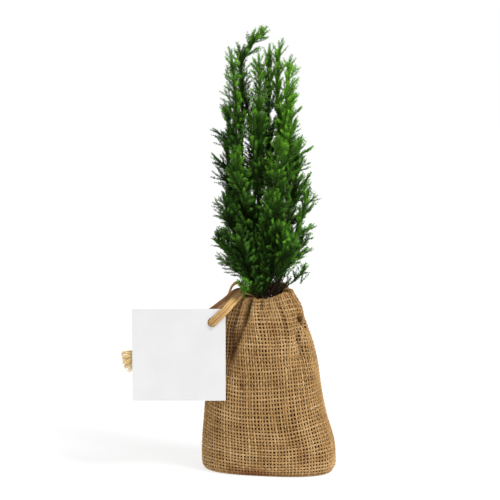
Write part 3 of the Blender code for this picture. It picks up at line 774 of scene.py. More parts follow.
@dataclass
class Cloth:
    """The bag's surface, as the model's source has it, with its smaller folds added."""

    stations: tuple = (
        (0, -47.6, 48.2, 26.4),
        (2.5, -50, 50.3, 28.6),
        (8, -50.9, 50.9, 29.5),
        (22, -50.6, 49.8, 30),
        (41, -49.2, 44.3, 29.5),
        (60, -47.6, 40.3, 28.5),
        (80, -45, 37.4, 27.5),
        (96, -41.5, 34.4, 26.5),
        (108, -38, 30.4, 25.5),
        (119, -34.2, 26.6, 24),
        (128, -30.6, 23.2, 22),
        (140, -24, 17.8, 18),
    )
    turned: float = math.radians(-9)
    squareness: tuple = (2.7, 2.15)
    rim_height: float = 136.3 * MM
    rim_rise: float = 3.3 * MM
    rim_saddle: float = 0.6 * MM
    soil_top: float = 112 * MM
    gather_heights: tuple = (78 * MM, 124 * MM)
    gather_count: int = 11
    gather_depth: float = 1.1 * MM
    # How far and how often the gathers wander to the side, and the ruffles below
    gather_wander: tuple = (1.2, 3)
    # Pleats: place at the neck and drift below it in degrees, depth in mm, half width in degrees
    pleats: tuple = (
        (-111, -12, 5.8, 5.6),
        (24, -8, 3.6, 9),
        (64, -10, 4.6, 9),
        (101, 4, 3.2, 8),
        (138, 12, 4.2, 9),
        (-160, -6, 3.0, 9),
    )
    ruffle_count: int = 27
    ruffle_depth: float = 0.45 * MM
    ruffle_wander: tuple = (1.6, 5)
    ruffle_foot: float = 108 * MM
    # Hollows, and bulges where the depth is negative: place, height, half width, half height and depth of each
    hollows: tuple = (
        (-125, 97, 7, 9, 2.6),
        (-121, 84, 9, 12, 1.2),
        (-88, 130, 4.0, 7, 3.2),
        (-22, 126, 24, 9, -3.4),
        (-84, 62, 14, 16, 0.7),
        (60, 80, 10, 20, 1.6),
        (120, 88, 9, 18, 1.8),
        (-37, 99, 8, 13, 2.8),
        (-53, 106, 7, 15, -1.8),
        (-76, 128, 4, 8, 1.6),
        (-99, 124, 5, 9, -1.2),
        (165, 76, 10, 22, 1.4),
    )
    # Creases: their line as places in degrees and heights in mm, then depth and half width in mm
    creases: tuple = (
        (((-70, 136), (-57, 124), (-55, 114), (-60, 102)), 1.5, 1.7),
        (((-20, 117), (-12, 114), (-2, 109.5)), 8.0, 2.3),
        (((-20, 112), (-44, 99)), 1.3, 1.7),
        (((-14, 108), (-38, 91)), 1.0, 2.0),
        (((-30, 113), (-50, 106)), 0.8, 1.4),
        (((-112, 104), (-124, 92)), 1.0, 2.2),
    )
    # How many mm of cloth lie in a degree at the neck
    crease_span: float = 0.56
    # The rim stands up a little more at the front right and behind: place and half width in degrees, height
    rim_lifts: tuple = ((-42, 20, 3.4), (58, 26, 3.6))

    def station(self, column: int, height: np.ndarray) -> np.ndarray:
        """A column of the station table at some heights, along a smooth curve.

        Args:
            column: which column.
            height: heights in mm.

        Returns:
            The column's values in mm.
        """
        table = np.array(self.stations, float)
        heights, values = table[:, 0], table[:, column]
        rows = np.arange(len(heights))
        after, before = np.minimum(rows + 1, rows[-1]), np.maximum(rows - 1, 0)
        slopes = (values[after] - values[before]) / (heights[after] - heights[before])
        height = np.clip(height, heights[0], heights[-1])
        n = np.clip(np.searchsorted(heights, height, side="right") - 1, 0, len(heights) - 2)
        span = heights[n + 1] - heights[n]
        t = (height - heights[n]) / span
        return (
            (2 * t**3 - 3 * t**2 + 1) * values[n]
            + (t**3 - 2 * t**2 + t) * span * slopes[n]
            + (3 * t**2 - 2 * t**3) * values[n + 1]
            + (t**3 - t**2) * span * slopes[n + 1]
        )

    def drawn_in(self, turn: np.ndarray, height: np.ndarray) -> np.ndarray:
        """How far folds draw the cloth in.

        Args:
            turn: angles round the bag from +X.
            height: heights in metres.

        Returns:
            The depths in metres.
        """
        drawn = smooth_step(height, *self.gather_heights)
        ruffled = smooth_step(height, self.ruffle_foot, self.rim_height)
        depth = self.gather_depth * drawn * self.ripple(turn, self.gather_count, self.gather_wander)
        for share, pleat in self.pleated(turn, height):
            depth = depth + pleat * MM * share
        depth = depth + self.ruffle_depth * ruffled * self.ripple(turn, self.ruffle_count, self.ruffle_wander)
        for pit in spots(turn, height, self.hollows):
            depth = depth + pit * MM
        for line, pit, width in self.creases:
            depth = depth + pit * MM * bell(self.away_from(line, turn, height) / width)
        return depth

    def ripple(self, turn: np.ndarray, count: int, wander: tuple) -> np.ndarray:
        """Waves round the bag, from 0 to 2, that wander a little to the side."""
        return 1 + np.cos(count * turn + wander[0] * np.sin(wander[1] * turn))

    def pleated(self, turn: np.ndarray, height: np.ndarray | float) -> Iterator[tuple[np.ndarray, float]]:
        """How deep in each pleat places are, from 0 to 1, and the pleat's depth in mm.

        Args:
            turn: angles round the bag from +X.
            height: heights in metres.

        Returns:
            Both for each pleat.
        """
        drawn = smooth_step(height, *self.gather_heights)
        for place, drift, depth, width in self.pleats:
            middle = np.radians(place + drift * (1 - drawn))
            yield drawn * bell(off_by(turn, middle, math.radians(width))), depth

    def away_from(self, line: tuple, turn: np.ndarray, height: np.ndarray) -> np.ndarray:
        """How far places are from a crease.

        Args:
            line: the crease's places in degrees and heights in mm.
            turn: angles round the bag from +X.
            height: heights in metres.

        Returns:
            The distances in mm, measured on the cloth.
        """
        nearest = np.full(np.shape(turn), 1e3)
        for (place, low), (next_place, high) in zip(line, line[1:]):
            across_mm = np.degrees(off_by(turn, math.radians(place))) * self.crease_span
            up_mm = height / MM - low
            step = ((next_place - place) * self.crease_span, high - low)
            share = np.clip((across_mm * step[0] + up_mm * step[1]) / (step[0] ** 2 + step[1] ** 2), 0, 1)
            nearest = np.minimum(nearest, np.hypot(across_mm - share * step[0], up_mm - share * step[1]))
        return nearest

    def points(self, turn: np.ndarray, share: np.ndarray, inset: np.ndarray | float = 0.0) -> np.ndarray:
        """Points on the cloth.

        Args:
            turn: angles round the bag from +X.
            share: the way from underside to rim.
            inset: how far inside the outer surface.

        Returns:
            The points, with their coordinates last.
        """
        turn, share, inset = np.broadcast_arrays(turn, share, inset)
        soil_share = self.soil_top / self.rim_height
        rim = self.rim_height + self.rim_rise * np.sin(turn) + self.rim_saddle * np.cos(2 * turn)
        for place, width, lift in self.rim_lifts:
            rim = rim + lift * MM * bell(off_by(turn, math.radians(place), math.radians(width)))
        above = np.maximum(0, (share - soil_share) / (1 - soil_share))
        height = share * self.rim_height + (rim - self.rim_height) * above**2
        left, right, deep = (self.station(column, height / MM) * MM for column in (1, 2, 3))
        power = 2 / (self.squareness[0] + (self.squareness[1] - self.squareness[0]) * share)
        cos, sin = np.cos(turn), np.sin(turn)
        drawn = inset + self.drawn_in(turn, height)
        x = (left + right) / 2 + np.sign(cos) * np.abs(cos) ** power * ((right - left) / 2 - drawn)
        y = np.sign(sin) * np.abs(sin) ** power * (deep - drawn)
        c, s = math.cos(self.turned), math.sin(self.turned)
        return np.stack([c * x - s * y, s * x + c * y, height], -1)


@dataclass
class BurlapBag:
    """The bag woven of separate yarns, its mouth turned in as a hem."""

    cloth: Cloth
    spinner: Spinner
    warps: int = 108
    wefts: int = 50
    hem_wefts: int = 8
    lip: float = 1.0 * MM
    half_width: float = 0.715 * MM
    half_thickness: float = 0.42 * MM
    swing: float = 0.40 * MM
    middle: float = 0.75 * MM
    foot: float = 0.0075
    rim_share: float = 0.987
    # The underside's plate, and how far it stays inside the cloth
    plate_heights: tuple = (0.1 * MM, 1.3 * MM)
    plate_inset: float = 0.9 * MM
    hairs: int = 420
    # The rows are spaced along the bag's outline here, measured at so many places, and the warps at so many round it
    profile_turn: float = math.radians(-100.0)
    samples: tuple = (600, 1801)
    # How many times closer the warps lie in a fold
    crowding: float = 1.4
    # Waves of the rows: height in mm, how many there are round the bag, drift from row to row, start
    waves: tuple = ((0.45, 2, 0.05, 0), (0.30, 5, -0.12, 1), (0.16, 11, 0.5, 0))
    row_spread: float = 0.13
    # The rows bow down at the front: place and half width in radians, depth in mm
    bow: tuple = (-1.65, 0.5, 0.9)
    # A warp strays by these shares of its pitch, as a whole and from row to row, and sways by a share over its rows
    stray: tuple = (0.14, 0.05)
    sway: tuple = (0.22, 0.11)
    # The first and last half rows that run level
    level_rows: int = 6
    # The rows sag at the front: place in radians, half width, height and half height in mm, depth in mm
    sag: tuple = (-1.62, 0.72, 42, 30, 4.6)
    # Over how many half rows the warps' places are evened out
    evened: int = 9
    # Painted shade darkens cloth from this depth of a fold on, over this span; the cloth is also darker by this
    # much at its foot, up to this height
    shaded_fold_depths: tuple = (2.0 * MM, 5.5 * MM)
    foot_darkening: float = 0.4
    foot_height: float = 6 * MM
    # How evenly yarns are spun: spread of girth, slow swelling, and slubs with their number, size and half rows
    girth_spread: float = 0.045
    swelling: float = 0.07
    slubs: tuple = (0.8, (0.1, 0.4), (2, 6))
    # A yarn takes up this much of its pitch at most
    fullest: float = 0.52
    # How far yarns differ in tint, and one yarn along its way
    tint_spread: tuple = (0.26, 0.28)
    hair_radius: float = 0.09 * MM
    hair_length: tuple = (2.0, 6.5)
    hair_bow: float = 0.6
    hair_lift: tuple = (0.1, 0.28)
    hair_tint: tuple = (-0.3, 1.2)
    hair_points: int = 6
    # Where a hair starts from the middle of the cloth, how low it hangs, and its girth at the tip
    hair_root: float = 0.5 * MM
    hair_floor: float = 0.3 * MM
    hair_tip: float = 0.4
    # Painted shade where cloth turns in or faces away from the light: place, height, half width, half height,
    # strength
    shades: tuple = (
        (-127, 103, 12, 22, 1.0),
        (-117, 94, 6, 11, 0.5),
        (-11, 114, 8, 4.5, 1.6),
        (-34, 99, 8, 12, 0.3),
        (-109, 121, 2.5, 10, 0.6),
        (-88, 130, 2.5, 6, 0.4),
    )
    # Stains: place round the bag in degrees, height in mm, half width in degrees, half height in mm, strength
    stains: tuple = (
        (-97, 2, 13, 4, 0.75),
        (-112, 5, 5, 3, 0.5),
        (-103, 68, 1.6, 2.2, 0.9),
        (-58, 17, 6, 8, 0.35),
        (-76, 112, 7, 5, 0.3),
        (-131, 40, 3, 2, 0.45),
        (70, 30, 8, 5, 0.4),
    )

    def lattice(self) -> tuple[np.ndarray, np.ndarray, np.ndarray, np.ndarray]:
        """The net that the yarns follow, two rows and two columns for each crossing.

        Returns:
            The net's points, their outward normals, and the turn and height of each.
        """
        rng = np.random.default_rng(SEED)
        rows, columns = 2 * (self.wefts - 1) + 1, 2 * self.warps
        dense = np.linspace(self.foot, self.rim_share, self.samples[0])
        profile = self.cloth.points(self.profile_turn, dense, self.middle)
        run = self.summed(np.linalg.norm(np.diff(profile, axis=0), axis=1))
        shares = np.interp(np.linspace(0, run[-1], rows), run, dense)
        step = run[-1] / (rows - 1)
        ways = np.arange(1, 2 * self.hem_wefts + 1) * step
        bend = np.clip(ways / self.lip, 0, math.pi)
        down = np.maximum(0, ways - math.pi * self.lip)
        share = np.concatenate([shares, self.rim_share - down / self.cloth.rim_height])
        inset = np.concatenate([np.full(rows, self.middle), self.middle + self.lip * (1 - np.cos(bend))])
        lift = np.concatenate([np.zeros(rows), self.lip * np.sin(bend)])
        total = len(share)
        level = np.arange(total)[:, None]
        free = np.clip(np.minimum(level, rows - 1 - level) / self.level_rows, 0, 1)
        quiver = rng.normal(0, self.stray[0], (self.warps, 1)) + rng.normal(0, self.stray[1], (self.warps, total))
        sway = self.sway[0] * np.sin(level.T * self.sway[1] + rng.uniform(0, math.tau, (self.warps, 1)))
        aside = np.repeat((quiver + sway).T, 2, axis=1)
        aside = (aside + np.roll(aside, 1, axis=1)) / 2
        around = np.linspace(math.pi / 2, math.pi / 2 + math.tau, self.samples[1])
        even = np.empty((total, columns + 1))
        for n in range(total):
            ring = self.cloth.points(around, share[n], inset[n])
            pleats = self.cloth.pleated(around, share[n] * self.cloth.rim_height)
            folded = np.max([part for part, _ in pleats], axis=0)
            steps = np.linalg.norm(np.diff(ring, axis=0), axis=1) * (1 + self.crowding * folded[1:])
            run = self.summed(steps)
            even[n] = np.interp(np.linspace(0, run[-1], columns + 1), run, around)
        padded = np.pad(even, ((self.evened, self.evened), (0, 0)), mode="edge")
        even = sum(padded[n : n + total] for n in range(2 * self.evened + 1)) / (2 * self.evened + 1)
        turn = even[:, :-1] + aside * np.diff(even, axis=1)
        wave = sum(tall * np.sin(count * turn + drift * level + start) for tall, count, drift, start in self.waves)
        place, width, depth = self.bow
        wave -= depth * bell(off_by(turn, place, width)) * np.sin(math.pi * np.clip(level / rows, 0, 1))
        place, width, low, tall, depth = self.sag
        heights = share[:, None] * self.cloth.rim_height / MM
        wave -= depth * bell(off_by(turn, place, width)) * bell((heights - low) / tall)
        wave += rng.normal(0, self.row_spread, (total, 1))
        share = np.clip(share[:, None] + wave * free * MM / self.cloth.rim_height, self.foot, self.rim_share)
        points = self.cloth.points(turn, share, inset[:, None])
        points[..., 2] += lift[:, None]
        ahead = np.roll(points, -1, axis=1) - np.roll(points, 1, axis=1)
        upward = np.gradient(points, axis=0)
        return points, unit(np.cross(ahead, upward)), turn, points[..., 2]

    def tones(self, turn: np.ndarray, height: np.ndarray, tint: np.ndarray) -> np.ndarray:
        """Tint, stain and darkening at some places: painted shade in folds, and a darker foot.

        Args:
            turn: angles round the bag.
            height: heights in metres.
            tint: the tint of each place.

        Returns:
            The three numbers last.
        """
        stain = np.max([*spots(turn, height, self.stains)], axis=0)
        # Painted shade: deeper folds and the shades table darken the cloth; the foot is darker too
        low, span = self.shaded_fold_depths
        crease = np.clip((self.cloth.drawn_in(turn, height) - low) / span, 0, 1)
        crease = np.maximum(crease, self.foot_darkening * (1 - smooth_step(height, 0, self.foot_height)))
        crease = np.clip(crease + sum(spots(turn, height, self.shades)), 0, 1)
        return np.stack([tint, stain, crease], -1)

    @staticmethod
    def summed(steps: np.ndarray) -> np.ndarray:
        """How far the way has come after each step."""
        return np.concatenate([[0], np.cumsum(steps)])

    def yarns(self, net: tuple, upright: bool, rng: np.random.Generator) -> list[Strand]:
        """The yarns that run one way.

        Args:
            net: the lattice.
            upright: whether these are the warps.
            rng: random numbers.

        Returns:
            One strand for each yarn.
        """
        points, normals, turn, height = net if not upright else [np.swapaxes(part, 0, 1) for part in net]
        other = points[1:] - points[:-1] if not upright else np.roll(points, -1, axis=0) - points
        gaps = np.linalg.norm(other, axis=-1)
        gaps = np.concatenate([gaps, gaps[-1:]]) if not upright else gaps
        made = []
        for n in range(0, points.shape[0], 2):
            count = points.shape[1]
            place = np.arange(count)
            sign = np.where(place % 2 == 0, (-1.0) ** (n // 2 + place // 2), 0) * (1 if upright else -1)
            size = rng.normal(1, self.girth_spread)
            girth = size * (1 + self.swelling * np.sin(place * rng.uniform(0.12, 0.3) + rng.uniform(0, 6)))
            girth = girth * (1 + rng.normal(0, self.girth_spread, count))
            number, sizes, lengths = self.slubs
            for _ in range(rng.poisson(number)):
                slub = rng.uniform(*sizes)
                girth = girth + slub * bell((place - rng.uniform(0, count)) / rng.uniform(*lengths))
            pitch = gaps[n] + gaps[n - 1] if n else 2 * gaps[n]
            girth = np.minimum(girth, self.fullest * pitch / self.half_width)
            line = points[n] + (sign * self.swing)[:, None] * normals[n]
            tint = rng.normal(0, self.tint_spread[0])
            tint = tint + self.tint_spread[1] * np.sin(place * rng.uniform(0.03, 0.1) + rng.uniform(0, 6))
            tone = self.tones(turn[n], height[n], tint)
            made.append(Strand(line, normals[n], girth, tone, closed=not upright))
        return made

    def stray_hairs(self, net: tuple, rng: np.random.Generator) -> list[Strand]:
        """Loose fibres that stand off the cloth.

        Args:
            net: the lattice.
            rng: random numbers.

        Returns:
            One strand for each hair.
        """
        points, normals, _, _ = net
        made = []
        for _ in range(self.hairs):
            n, k = rng.integers(2, points.shape[0] - 8), rng.integers(0, points.shape[1])
            side = unit(points[n, (k + 1) % points.shape[1]] - points[n, k])
            rise = unit(np.cross(normals[n, k], side))
            angle = rng.uniform(0, math.tau)
            ahead = math.cos(angle) * side + math.sin(angle) * rise
            bow = rng.uniform(-self.hair_bow, self.hair_bow) * unit(np.cross(ahead, normals[n, k]))
            length = rng.uniform(*self.hair_length) * MM
            steps = np.linspace(0, 1, self.hair_points)[:, None]
            lift = rng.uniform(*self.hair_lift)
            line = points[n, k] + normals[n, k] * self.hair_root
            line = line + length * (ahead * steps + bow * steps**2 + normals[n, k] * lift * np.sin(steps * 2.6))
            line[:, 2] = np.maximum(line[:, 2], self.hair_floor)
            girths = np.linspace(1, self.hair_tip, self.hair_points)
            made.append(strand_along(line, normals[n, k], girths, (rng.uniform(*self.hair_tint), 0, 0)))
        return made

    def base_mesh(self) -> bpy.types.Mesh:
        """The flat underside as a thin closed plate of cloth.

        Returns:
            The mesh, with the attributes that its finish reads.
        """
        turns = np.linspace(0, math.tau, 180, endpoint=False)
        edge = self.cloth.points(turns, self.foot, self.plate_inset)
        places = np.concatenate([edge * (1, 1, 0) + (0, 0, height) for height in self.plate_heights])
        mesh = plain_mesh("bag_underside", places, barrel(2, len(turns)), smooth=False)
        lay(mesh, "strand", places)
        lay(mesh, "tone", np.tile((0.0, 0.0, self.foot_darkening), (len(places), 1)))
        return mesh

    def build(self) -> None:
        """Weaves the bag and puts its pieces in place."""
        net = self.lattice()
        rng = np.random.default_rng(SEED + 1)
        size = (self.half_width, self.half_thickness)
        for name, upright in (("burlap_warps", True), ("burlap_wefts", False)):
            mesh = self.spinner.spin(name, self.yarns(net, upright, rng), size, 6, BURLAP)
            self.rest_on_floor(mesh)
            piece_of(name, mesh, BURLAP, ["burlap_bag"])
        shape = (self.hair_radius, self.hair_radius, 3)
        self.spinner.piece("burlap_hairs", self.stray_hairs(net, rng), shape, BURLAP, "burlap", [])
        piece_of("burlap_underside", self.base_mesh(), BURLAP, [])

    def rest_on_floor(self, mesh: bpy.types.Mesh) -> None:
        """Flattens the yarns that lie on the floor.

        Args:
            mesh: the yarns.
        """
        places = np.empty(len(mesh.vertices) * 3, np.float32)
        mesh.vertices.foreach_get("co", places)
        places[2::3] = np.maximum(places[2::3], 0)
        mesh.vertices.foreach_set("co", places)


@dataclass
class RootBall:
    """The soil that fills the bag, with a crumbly top."""

    cloth: Cloth
    inset: float = 2.3 * MM
    rough: float = 0.7 * MM
    top: float = 112 * MM
    # Where it starts, as a share of the bag's height
    foot: float = 0.018
    # Scales of the fine grain and of the clods, and how far each lifts the top
    grains: tuple = (320, 110)
    lifts: tuple = (0.9 * MM, 1.3 * MM)
    # How far the wall and the top are drawn in
    drawn: tuple = (0.4 * MM, 0.6 * MM)
    # The disc that crumbs are strewn on: how far in from the wall, and how far above the top
    strewn: tuple = (2.2 * MM, 0.9 * MM)
    rows: int = 56
    columns: int = 168
    rings: int = 26
    # Crumbs in a square metre of the top, and their radius
    crumbs: float = 156000.0
    crumb_radius: float = 0.75 * MM

    def build(self) -> None:
        """Makes the plug and the crumbs on its top."""
        turns = np.linspace(0, math.tau, self.columns, endpoint=False)
        shares = np.linspace(self.foot, self.top / self.cloth.rim_height, self.rows)
        wall = self.cloth.points(turns[None, :], shares[:, None], self.inset)
        middle = wall[-1].mean(axis=0)
        inward = 1 - np.arange(1, self.rings)[:, None, None] / self.rings
        net = np.concatenate([wall, middle + (wall[-1] - middle) * inward])
        corners = [*net.reshape(-1, 3), middle]
        faces = barrel(len(net), self.columns)
        last = faces.pop()
        faces += [(k, last[(n + 1) % len(last)], len(corners) - 1) for n, k in enumerate(last)]
        top = (self.rows - 2) * self.columns
        shaped = [self.roughened(Vector(corner), n >= top) for n, corner in enumerate(corners)]
        piece_of("soil", plain_mesh("soil", shaped, faces), EARTH, ["root_ball"])
        piece_of("soil_crumbs", self.crumb_mesh(), EARTH, [])

    def roughened(self, point: Vector, on_top: bool) -> Vector:
        """A corner moved by the soil's unevenness.

        Args:
            point: the corner.
            on_top: whether it lies on the top, where clods are larger.

        Returns:
            The moved corner.
        """
        fine = noise.fractal(point * self.grains[0], 0.9, 2.1, 4)
        out = Vector((point.x, point.y, 0)).normalized()
        if not on_top:
            return point - out * (self.drawn[0] + self.rough * abs(fine))
        clods = noise.fractal(point * self.grains[1], 0.9, 2.0, 3)
        return point + UP * (self.lifts[1] * clods + self.lifts[0] * fine) - out * self.drawn[1]

    def crumb_mesh(self) -> bpy.types.Mesh:
        """Loose crumbs scattered over the top.

        Returns:
            One mesh of small closed grains.
        """
        tree = Nodes("soil crumbs", {"Density": "Float", "Size": "Float", "Finish": "Material"})
        sketch, given = tree.sketch, tree.given
        strewn = {"Mesh": given["Lines"], "Density": given["Density"], "Seed": SEED}
        places = sketch.first("GeometryNodeDistributePointsOnFaces", strewn)
        grain = sketch.first("GeometryNodeMeshIcoSphere", {"Radius": given["Size"], "Subdivisions": 1})
        sizes = {"Min": (0.4, 0.4, 0.3), "Max": (1.5, 1.3, 1.0), "Seed": 7}
        size = sketch.first("FunctionNodeRandomValue", sizes, data_type="FLOAT_VECTOR")
        turn = sketch.first("FunctionNodeRandomValue", {"Max": (6.0, 6.0, 6.0), "Seed": 9}, data_type="FLOAT_VECTOR")
        placed = {"Points": places, "Instance": grain, "Rotation": turn, "Scale": size}
        tree.close(sketch.first("GeometryNodeInstanceOnPoints", placed))
        turns = np.linspace(0, math.tau, 60, endpoint=False)
        edge = self.cloth.points(turns, self.top / self.cloth.rim_height, self.inset + self.strewn[0])
        lifted = [(x, y, self.top + self.strewn[1]) for x, y, _ in edge]
        disc = plain_mesh("soil_top", lifted, [tuple(range(len(lifted)))])
        values = {"Density": self.crumbs, "Size": self.crumb_radius, "Finish": EARTH.material()}
        return tree.run(disc, values)


# Tree


@dataclass
class Shoot:
    """A line of growth from its root to its tip, as a smooth curve."""

    name: str
    root: Vector
    tip: Vector
    leaving: Vector
    arriving: Vector
    longest: float
    limb: bool = False
    first: float = 0.0

    def point(self, share: float) -> Vector:
        """The point at a share of the way.

        Args:
            share: the share, from 0 to 1.

        Returns:
            The point.
        """
        reach = (self.tip - self.root).length / 3
        a, d = self.root, self.tip
        b, c = a + self.leaving * reach, d - self.arriving * reach
        rest = 1 - share
        return a * rest**3 + b * 3 * rest**2 * share + c * 3 * rest * share**2 + d * share**3

    def ahead(self, share: float) -> Vector:
        """The direction of growth at a share of the way."""
        return (self.point(min(1, share + 0.01)) - self.point(max(0, share - 0.01))).normalized()

    def at_foot(self) -> bool:
        """Whether it is one of the plumes that arch over the mouth."""
        return self.name.startswith("foot")

    def length(self) -> float:
        """The shoot's length."""
        places = [self.point(n / 20) for n in range(21)]
        return sum((b - a).length for a, b in zip(places, places[1:]))


@dataclass
class TrunkRun(Shoot):
    """A stretch of the trunk that sprays grow on directly."""

    route: tuple = ()

    def point(self, share: float) -> Vector:
        """The point at a share of the way."""
        return along(self.route, share)[0]


@dataclass
class Spray:
    """One branchlet: its line, the side it faces, and how bright its green is."""

    line: list[Vector]
    face: Vector
    length: float
    glow: float


@dataclass
class Growth:
    """The rule that the model's masses are grown by, written again."""

    trunk_line: tuple = (
        (-3, 0, 112),
        (-4, 0.5, 160),
        (-8, 1.5, 215),
        (-14, 2, 262),
        (-19, 1.2, 284),
        (-20.5, 0, 300),
    )
    trunk_radius: tuple = (1.75 * MM, 0.65 * MM)
    flare: float = 1.7 * MM
    flare_height: float = 4.5 * MM
    gap: float = 0.3 * MM
    boughs: tuple = (
        ("left_front", 152, (-29.5, -9, 316)),
        ("left_back", 178, (-23.5, 12, 319)),
        ("middle_front", 164, (-8, -13, 311.5)),
        ("middle_back", 143, (0.5, 13, 318)),
        ("right", 131, (9.5, -1, 322)),
        ("right_front", 138, (16, -13, 310.5)),
        ("right_back", 125, (18.5, 9, 293)),
    )
    bough_radius: tuple = (1.15 * MM, 0.6 * MM)
    bough_share: float = 0.5
    bough_rise: float = 1.5
    top_tip: tuple = (-2.4, -3, 331)
    top_arriving: tuple = (0.62, -0.05, 0.75)
    tiers: tuple = (
        ("foot", 122, 152, 33, 3, 4),
        ("low", 127, 184, 36, 5, 18),
        ("mid", 142, 212, 36, 5, -10),
        ("upper", 163, 248, 33, 5, 10),
        ("crown", 196, 276, 23, 4, 2),
    )
    # Small plumes nearer to the trunk, which fill the crown's middle
    inner_tiers: tuple = (
        ("inner_foot", 123, 148, 33, 1, 184),
        ("inner_low", 126, 176, 24, 4, -105),
        ("inner_mid", 138, 206, 22, 4, -60),
        ("inner_high", 152, 232, 20, 4, -110),
    )
    inner_longest: float = 0.62
    flatten: float = 0.88
    turn_spread: float = 9
    reach_spread: float = 0.08
    tip_spread: float = 5
    start_spread: float = 3
    climb: float = 1.5
    plume_rise: float = 1.1
    stem_radius: tuple = (0.75 * MM, 0.35 * MM)
    stem_end: float = 0.96
    tip_lean: float = 0.25
    longest: float = 31 * MM
    shortest: float = 12 * MM
    angle: float = 29
    inward: float = 0.5
    taper: float = 0.62
    start_share: float = 0.1
    start_on_bough: float = 0.03
    end_share: float = 0.93
    bough_longest: float = 0.72
    top_longest: float = 0.5
    length_range: tuple = (0.88, 1.08)
    roll_spread: float = 75
    tries: int = 60
    swing: float = 50
    raised: float = 9
    fixed: tuple = ("burlap_bag", "root_ball", "trunk", "tie_front", "tie_rear", "tie_loop")
    guard: float = 0.35 * MM
    line: list[Vector] = field(default_factory=list)
    obstacles: list[tuple] = field(default_factory=list)

    def __post_init__(self) -> None:
        """Lays the trunk's line and takes what the limbs grow clear of from the model."""
        self.line = spline([Vector(point) * MM for point in self.trunk_line], 60)
        for name in self.fixed:
            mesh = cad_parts[name].data
            faces = [tuple(face.vertices) for face in mesh.polygons]
            self.obstacles.append(self.solid([corner.co for corner in mesh.vertices], faces))

    def solid(self, corners: list[Vector], faces: list[tuple]) -> tuple[Vector, float, BVHTree]:
        """What a clearance test needs of a solid.

        Args:
            corners: its corners.
            faces: its faces.

        Returns:
            Its middle, its reach and its search tree.
        """
        middle = sum(corners, Vector()) / len(corners)
        reach = max((corner - middle).length for corner in corners)
        return middle, reach, BVHTree.FromPolygons([tuple(corner) for corner in corners], faces)

    def trunk_at(self, height: float) -> tuple[Vector, float]:
        """The middle and the radius of the trunk at a height.

        Args:
            height: the height in metres.

        Returns:
            Both.
        """
        point = min(self.line, key=lambda place: abs(place.z - height))
        share = (height - self.line[0].z) / (self.line[-1].z - self.line[0].z)
        flare = self.flare * math.exp(-(height - self.line[0].z) / self.flare_height)
        return point, self.trunk_radius[0] + (self.trunk_radius[1] - self.trunk_radius[0]) * share + flare

    def tube(self, line: list[Vector], radii: list[float], sides: int) -> tuple[Vector, float, BVHTree]:
        """A closed tube along a line, as a solid to test against.

        Args:
            line: the tube's line.
            radii: its radius at each point.
            sides: how many sides it has.

        Returns:
            Its middle, its reach and its search tree.
        """
        net, faces = tube(line, sides)
        corners = [line[n] + radii[n] * out for n, _, out in net]
        return self.solid(corners, faces)

    def stem(
        self, shoot: Shoot, first: float, last: float, radii: tuple, sides: int, steps: int = 8, extra: float = 0.0
    ) -> tuple:
        """The tapering limb along part of a shoot, as a solid to test against.

        Args:
            shoot: the shoot.
            first: where the limb begins, as a share of the shoot.
            last: where it ends.
            radii: its radius at both ends.
            sides: how many sides it has.
            steps: how many steps it is made in.
            extra: clear space added all round.

        Returns:
            Its middle, its reach and its search tree.
        """
        places = [first + (last - first) * n / steps for n in range(steps + 1)]
        girths = [radii[0] + (radii[1] - radii[0]) * n / steps + extra for n in range(steps + 1)]
        return self.tube([shoot.point(place) for place in places], girths, sides)

    def clear(self, guard: tuple) -> bool:
        """Whether a solid touches nothing that stands already.

        Args:
            guard: the solid's middle, reach and search tree.

        Returns:
            True where it is clear.
        """
        middle, reach, tree = guard
        for other_middle, other_reach, other in self.obstacles:
            if (middle - other_middle).length < reach + other_reach and tree.overlap(other):
                return False
        return True

    def from_trunk(
        self, name: str, start: float, tip: Vector, rise: float, radius: float, longest: float, swing: float
    ) -> Shoot:
        """A shoot that leaves the trunk's side towards its tip.

        Args:
            name: the shoot's name.
            start: the height in mm where it leaves.
            tip: where it ends.
            rise: how steeply it leaves.
            radius: its radius there.
            longest: its longest branchlet.
            swing: how far its start is turned round the trunk.

        Returns:
            The shoot.
        """
        middle, girth = self.trunk_at(start * MM)
        out = Vector((tip.x - middle.x, tip.y - middle.y, 0)).normalized()
        out = Matrix.Rotation(swing, 3, "Z") @ out
        leaving = (out + rise * UP).normalized()
        root = middle + out * (girth + self.gap + radius * rise / math.hypot(1, rise))
        arriving = (UP + self.tip_lean * out).normalized()
        return Shoot(name, root, tip, leaving, arriving, longest)

    def settled(
        self, name: str, start: float, tip: Vector, rise: float, radii: tuple, longest: float
    ) -> Shoot | None:
        """A shoot turned and raised a little until its limb is clear.

        Args:
            name: the shoot's name.
            start: the height in mm where it leaves.
            tip: where it ends.
            rise: how steeply it leaves.
            radii: its radius at both ends.
            longest: its longest branchlet.

        Returns:
            The shoot, or nothing where no place is free.
        """
        rng = seeded(name, "place")
        for attempt in range(self.tries):
            swing = math.radians(either(rng, self.swing) * attempt / self.tries)
            raised = start + either(rng, self.raised) * attempt / self.tries
            shoot = self.from_trunk(name, raised, tip, rise, radii[0], longest, swing)
            if self.clear(self.stem(shoot, 0, 1, radii, 6, steps=24, extra=self.guard)):
                return shoot
        return None

